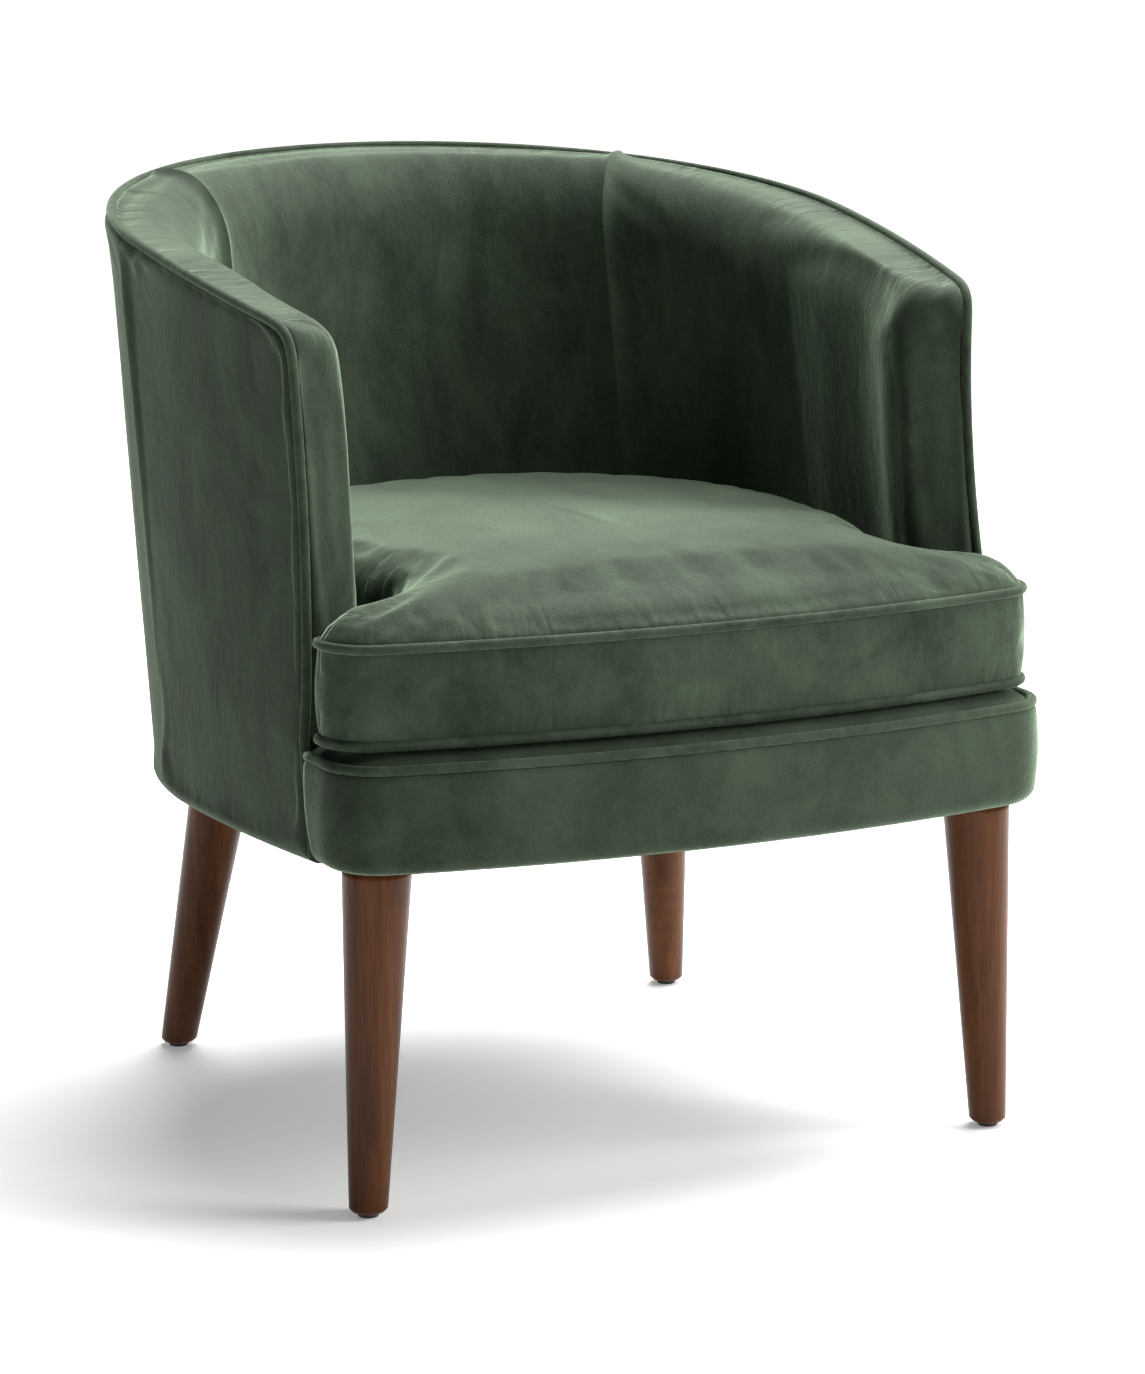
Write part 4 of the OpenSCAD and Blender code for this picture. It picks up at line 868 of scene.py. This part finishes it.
# The same outline, closed, with its points spread evenly
def evenly(points, count):
    points = np.asarray(points, dtype=float)
    points = np.concatenate([points, points[:1]])
    run = np.concatenate([[0], np.cumsum(np.linalg.norm(np.diff(points, axis=0), axis=1))])
    at = np.linspace(0, run[-1], count + 1)[:-1]
    return np.stack([np.interp(at, run, points[:, k]) for k in range(2)], axis=1)


# Plan of the cushion, set in by d. Its notches are filled out to the round corners of the arms.
PLAN_POINTS, WING_SLACK = 420, 0.0015


def cushion_plan(d):
    wing_x, notch_r = HALF - WING_R, NOTCH_R + d
    notch_y = WING_Y - d + notch_r
    notch_x = cushion_side(notch_y) - d + notch_r
    right = front_plan(d, HALF, FRONT, CORNER, BORDER_FRONT)
    wing_back = WING_Y - WING_SLACK
    wing_start = max(wing_back - WING_R, right[-1][1] + WING_SLACK)
    turn = [math.pi / 2 * i / 8 for i in range(9)]
    right += [(wing_x + (WING_R - d) * math.cos(a), wing_start + (wing_back - d - wing_start) * math.sin(a))
              for a in turn]
    right += [(notch_x - notch_r * math.sin(a), notch_y - notch_r * math.cos(a)) for a in turn]
    for i in range(1, 25):
        y = mix(notch_y, BACK_C, i / 24)
        right.append((cushion_side(y) - d, y))
    for i in range(1, 41):
        a = math.pi / 2 * (1 - i / 40)
        y = BACK_C + (BACK_RAD - d) * math.cos(a)
        right.append((min((BACK_RAD - d) * math.sin(a), cushion_side(y) - d), y))
    loop = right + [(-x, y) for x, y in reversed(right[1:-1])]
    return evenly(loop, PLAN_POINTS)


seam = cushion_plan(PIPING)


# Measure of each point, in plan, along the seam and away from it
def beside_seam(points):
    ab = np.roll(seam, -1, axis=0) - seam
    run = np.concatenate([[0], np.cumsum(np.linalg.norm(ab, axis=1))])
    along, away = np.empty(len(points)), np.empty(len(points))
    for k, p in enumerate(points[:, :2]):
        t = unit(((p - seam) * ab).sum(1) / (ab * ab).sum(1))
        gap = (((p - seam) - ab * t[:, None]) ** 2).sum(1)
        nearest = gap.argmin()
        along[k] = run[nearest] + t[nearest] * (run[nearest + 1] - run[nearest])
        away[k] = np.sqrt(gap[nearest])
    return (along + run[-1] / 2) % run[-1], away


# Height of the crown above the seam: a dome that rises from the front, and falls steeply along the arms
DOME_DEPTH, DOME_POWER, SIDE_FALL = 0.26, 2.4, 0.2
STEEP_WING, STEEP_NOTCH, STEEP_SIDE = 0.012, 0.0045, 0.0022


def risen(distance, half):
    return 1 - 0.5 ** (np.maximum(distance, 0) / half)


def crown_rise(points):
    x, y = np.abs(points[:, 0]), points[:, 1]
    top = mix(CROWN_FRONT, CROWN_BACK, unit((y - WING_Y) / (BACK_C + BACK_RAD - WING_Y)) ** 1.6)
    behind = np.maximum(y - FRONT - PIPING - BOW + np.sqrt(BOW * BOW - x * x), 0)
    dome = (1 - unit(1 - behind / DOME_DEPTH) ** DOME_POWER) ** (1 / DOME_POWER)
    from_notch = np.hypot(x - cushion_side(WING_Y), y - WING_Y)
    steep = mix(STEEP_NOTCH, STEEP_SIDE, unit(from_notch / 0.06))
    round_top = 1 - SIDE_FALL * (x / 0.25) ** 2.5 * unit(behind / 0.2)
    return top * dome * round_top * risen(HALF - x, STEEP_WING) * risen(beside_seam(points)[1], steep)


# Rings from the underside's middle out to the lower seam, up the boxing, and in over the crown to its spine
spine_y = mix(WING_Y - 0.028, BACK_C, unit((seam[:, 1] - (WING_Y - 0.0086)) / (BACK_C - (WING_Y - 0.0086))))
spine = np.stack([np.zeros(len(seam)), spine_y], axis=1)
loops = []
for inwards in (0.96, 0.7, 0.4, 0.15, 0.0):
    ring = seam + (spine - seam) * inwards
    loops.append([(x, y, SEAM_LOW - UNDERSIDE * min(inwards / 0.15, 1)) for x, y in ring])
for i in range(1, 12):
    t = i / 12
    ring = cushion_plan(PIPING - BULGE * 4 * t * (1 - t))
    start = np.argmin(((ring - seam[0]) ** 2).sum(1))
    ring = np.roll(ring, -start, axis=0)
    loops.append([(x, y, mix(SEAM_LOW, SEAM_HIGH, t)) for x, y in ring])
for inwards in (0, 0.01, 0.025, 0.04, 0.06, 0.08, 0.11, 0.15, 0.2, 0.26, 0.34, 0.43, 0.53, 0.65, 0.78,
                0.9, 0.97):
    ring = seam + (spine - seam) * inwards
    loops.append([(x, y, SEAM_HIGH + r) for (x, y), r in zip(ring, 0.96 * crown_rise(ring))])
cushion = sheet_piece("seat_cushion_case", np.array(loops).transpose(1, 0, 2), closed=True)
base = bmesh.new()
base.from_mesh(cushion.data)
bmesh.ops.holes_fill(base, edges=[e for e in base.edges if e.is_boundary], sides=0)
bmesh.ops.recalc_face_normals(base, faces=base.faces)
base.to_mesh(cushion.data)
base.free()
MESH_SIZE = 0.0055
remesh = cushion.modifiers.new("remesh", "REMESH")
remesh.mode = "VOXEL"
remesh.voxel_size = MESH_SIZE
remeshed = bpy.data.meshes.new_from_object(cushion.evaluated_get(bpy.context.evaluated_depsgraph_get()))
cushion.modifiers.remove(remesh)
cushion.data = remeshed
points = points_of(cushion.data)
level = np.minimum(np.abs(points[:, 2] - SEAM_LOW), np.abs(points[:, 2] - SEAM_HIGH))
held = unit(1.6 - np.hypot(beside_seam(points)[1], level) / MESH_SIZE)
held[points[:, 2] < SEAM_LOW - 0.001] = 1
filled(cushion, held, pressure=4.0, spare=0.003, reach=0.005, frames=14)
points = points_of(cushion.data)
points[:, 2] = np.maximum(points[:, 2], SEAT_LOW)
put_points(cushion.data, points)

# Creases in the cloth, square to the seams and deepest beside them
CREASE, CREASE_REACH = 0.0012, 0.024
along, away = beside_seam(points)
level = np.minimum(np.abs(points[:, 2] - SEAM_LOW), np.abs(points[:, 2] - SEAM_HIGH))
boxing = (points[:, 2] > SEAM_LOW) & (points[:, 2] < SEAM_HIGH) & (away < 0.008)
away = np.where(boxing, level, np.hypot(away, level * 0.4))
place = np.stack([along, away, (points[:, 2] > 0.42).astype(float)], axis=1)
folds = noise_at(place, (1 / 0.026, 1 / 0.075, 3), 5)
some = unit(0.4 + 1.6 * noise_at(place, (1 / 0.11, 1 / 0.2, 3), 11))
depth = CREASE * some * unit(1 - np.abs(folds) / 0.11) * unit(away / 0.006) * np.exp(-away / CREASE_REACH)
points -= normals_of(cushion.data) * depth[:, None]
put_points(cushion.data, points)
measure = cushion.data.uv_layers.new(name="seam")
for corner in cushion.data.loops:
    measure.data[corner.index].uv = (along[corner.vertex_index], away[corner.vertex_index])
layer = cushion.data.uv_layers.new(name="cloth")
for polygon in cushion.data.polygons:
    upright = abs(polygon.normal[2]) < 0.5 and SEAM_LOW < polygon.center[2] < SEAM_HIGH
    sideways = abs(polygon.normal[0]) > abs(polygon.normal[1])
    for loop_index in polygon.loop_indices:
        x, y, z = points[cushion.data.loops[loop_index].vertex_index]
        layer.data[loop_index].uv = ((y if sideways else x), z + 1.0) if upright else (x, y)
cushion.data.polygons.foreach_set("use_smooth", [True] * len(cushion.data.polygons))
subdivided(cushion)
cushion.data.materials.clear()
cushion.data.materials.append(velvet_cushion)
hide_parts("cushion_core", "cushion_top_panel", "cushion_bottom_panel", "cushion_boxing",
            "zip_boxing")
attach(cushion, "seat_cushion")
for name, node_name, z in (("upper_cushion_piping", "cushion_piping_top", SEAM_HIGH),
                           ("lower_cushion_piping", "cushion_piping_bottom", SEAM_LOW)):
    piping = cord_piece(name, [(x, y, z) for x, y in seam], [(0, 0, 1)] * len(seam), closed=True)
    piping.data.materials.append(velvet_piping)
    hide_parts(node_name)
    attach(piping, "seat_cushion")

# Zip. A black coil zip lies along the middle of the cushion's back, with a small metal slider.
zip_tape, shader = new_material("zip_tape")
teeth = node(zip_tape, "ShaderNodeTexWave", {"Vector": place_of(zip_tape), "Scale": 190.0},
             bands_direction="X")
join_to(zip_tape, shader.inputs["Base Color"],
        ramp(zip_tape, teeth, [(0.3, (0.010, 0.012, 0.011)), (0.7, (0.030, 0.034, 0.031))]))
join_to(zip_tape, shader.inputs["Normal"], bump(zip_tape, teeth, 0.0006, 0.8))
shader.inputs["Roughness"].default_value = 0.6
dressed(zip_tape, "cushion_zip")
slider_metal, shader = new_material("slider_metal")
worn = noise_of(slider_metal, place_of(slider_metal), (400, 400, 400), 4)
shader.inputs["Metallic"].default_value = 1.0
join_to(slider_metal, shader.inputs["Base Color"],
        ramp(slider_metal, worn, [(0.3, (0.24, 0.22, 0.19)), (0.7, (0.42, 0.39, 0.34))]))
join_to(slider_metal, shader.inputs["Roughness"],
        node(slider_metal, "ShaderNodeMapRange", {"Value": worn, "To Min": 0.28, "To Max": 0.5}))
dressed(slider_metal, "zip_slider")
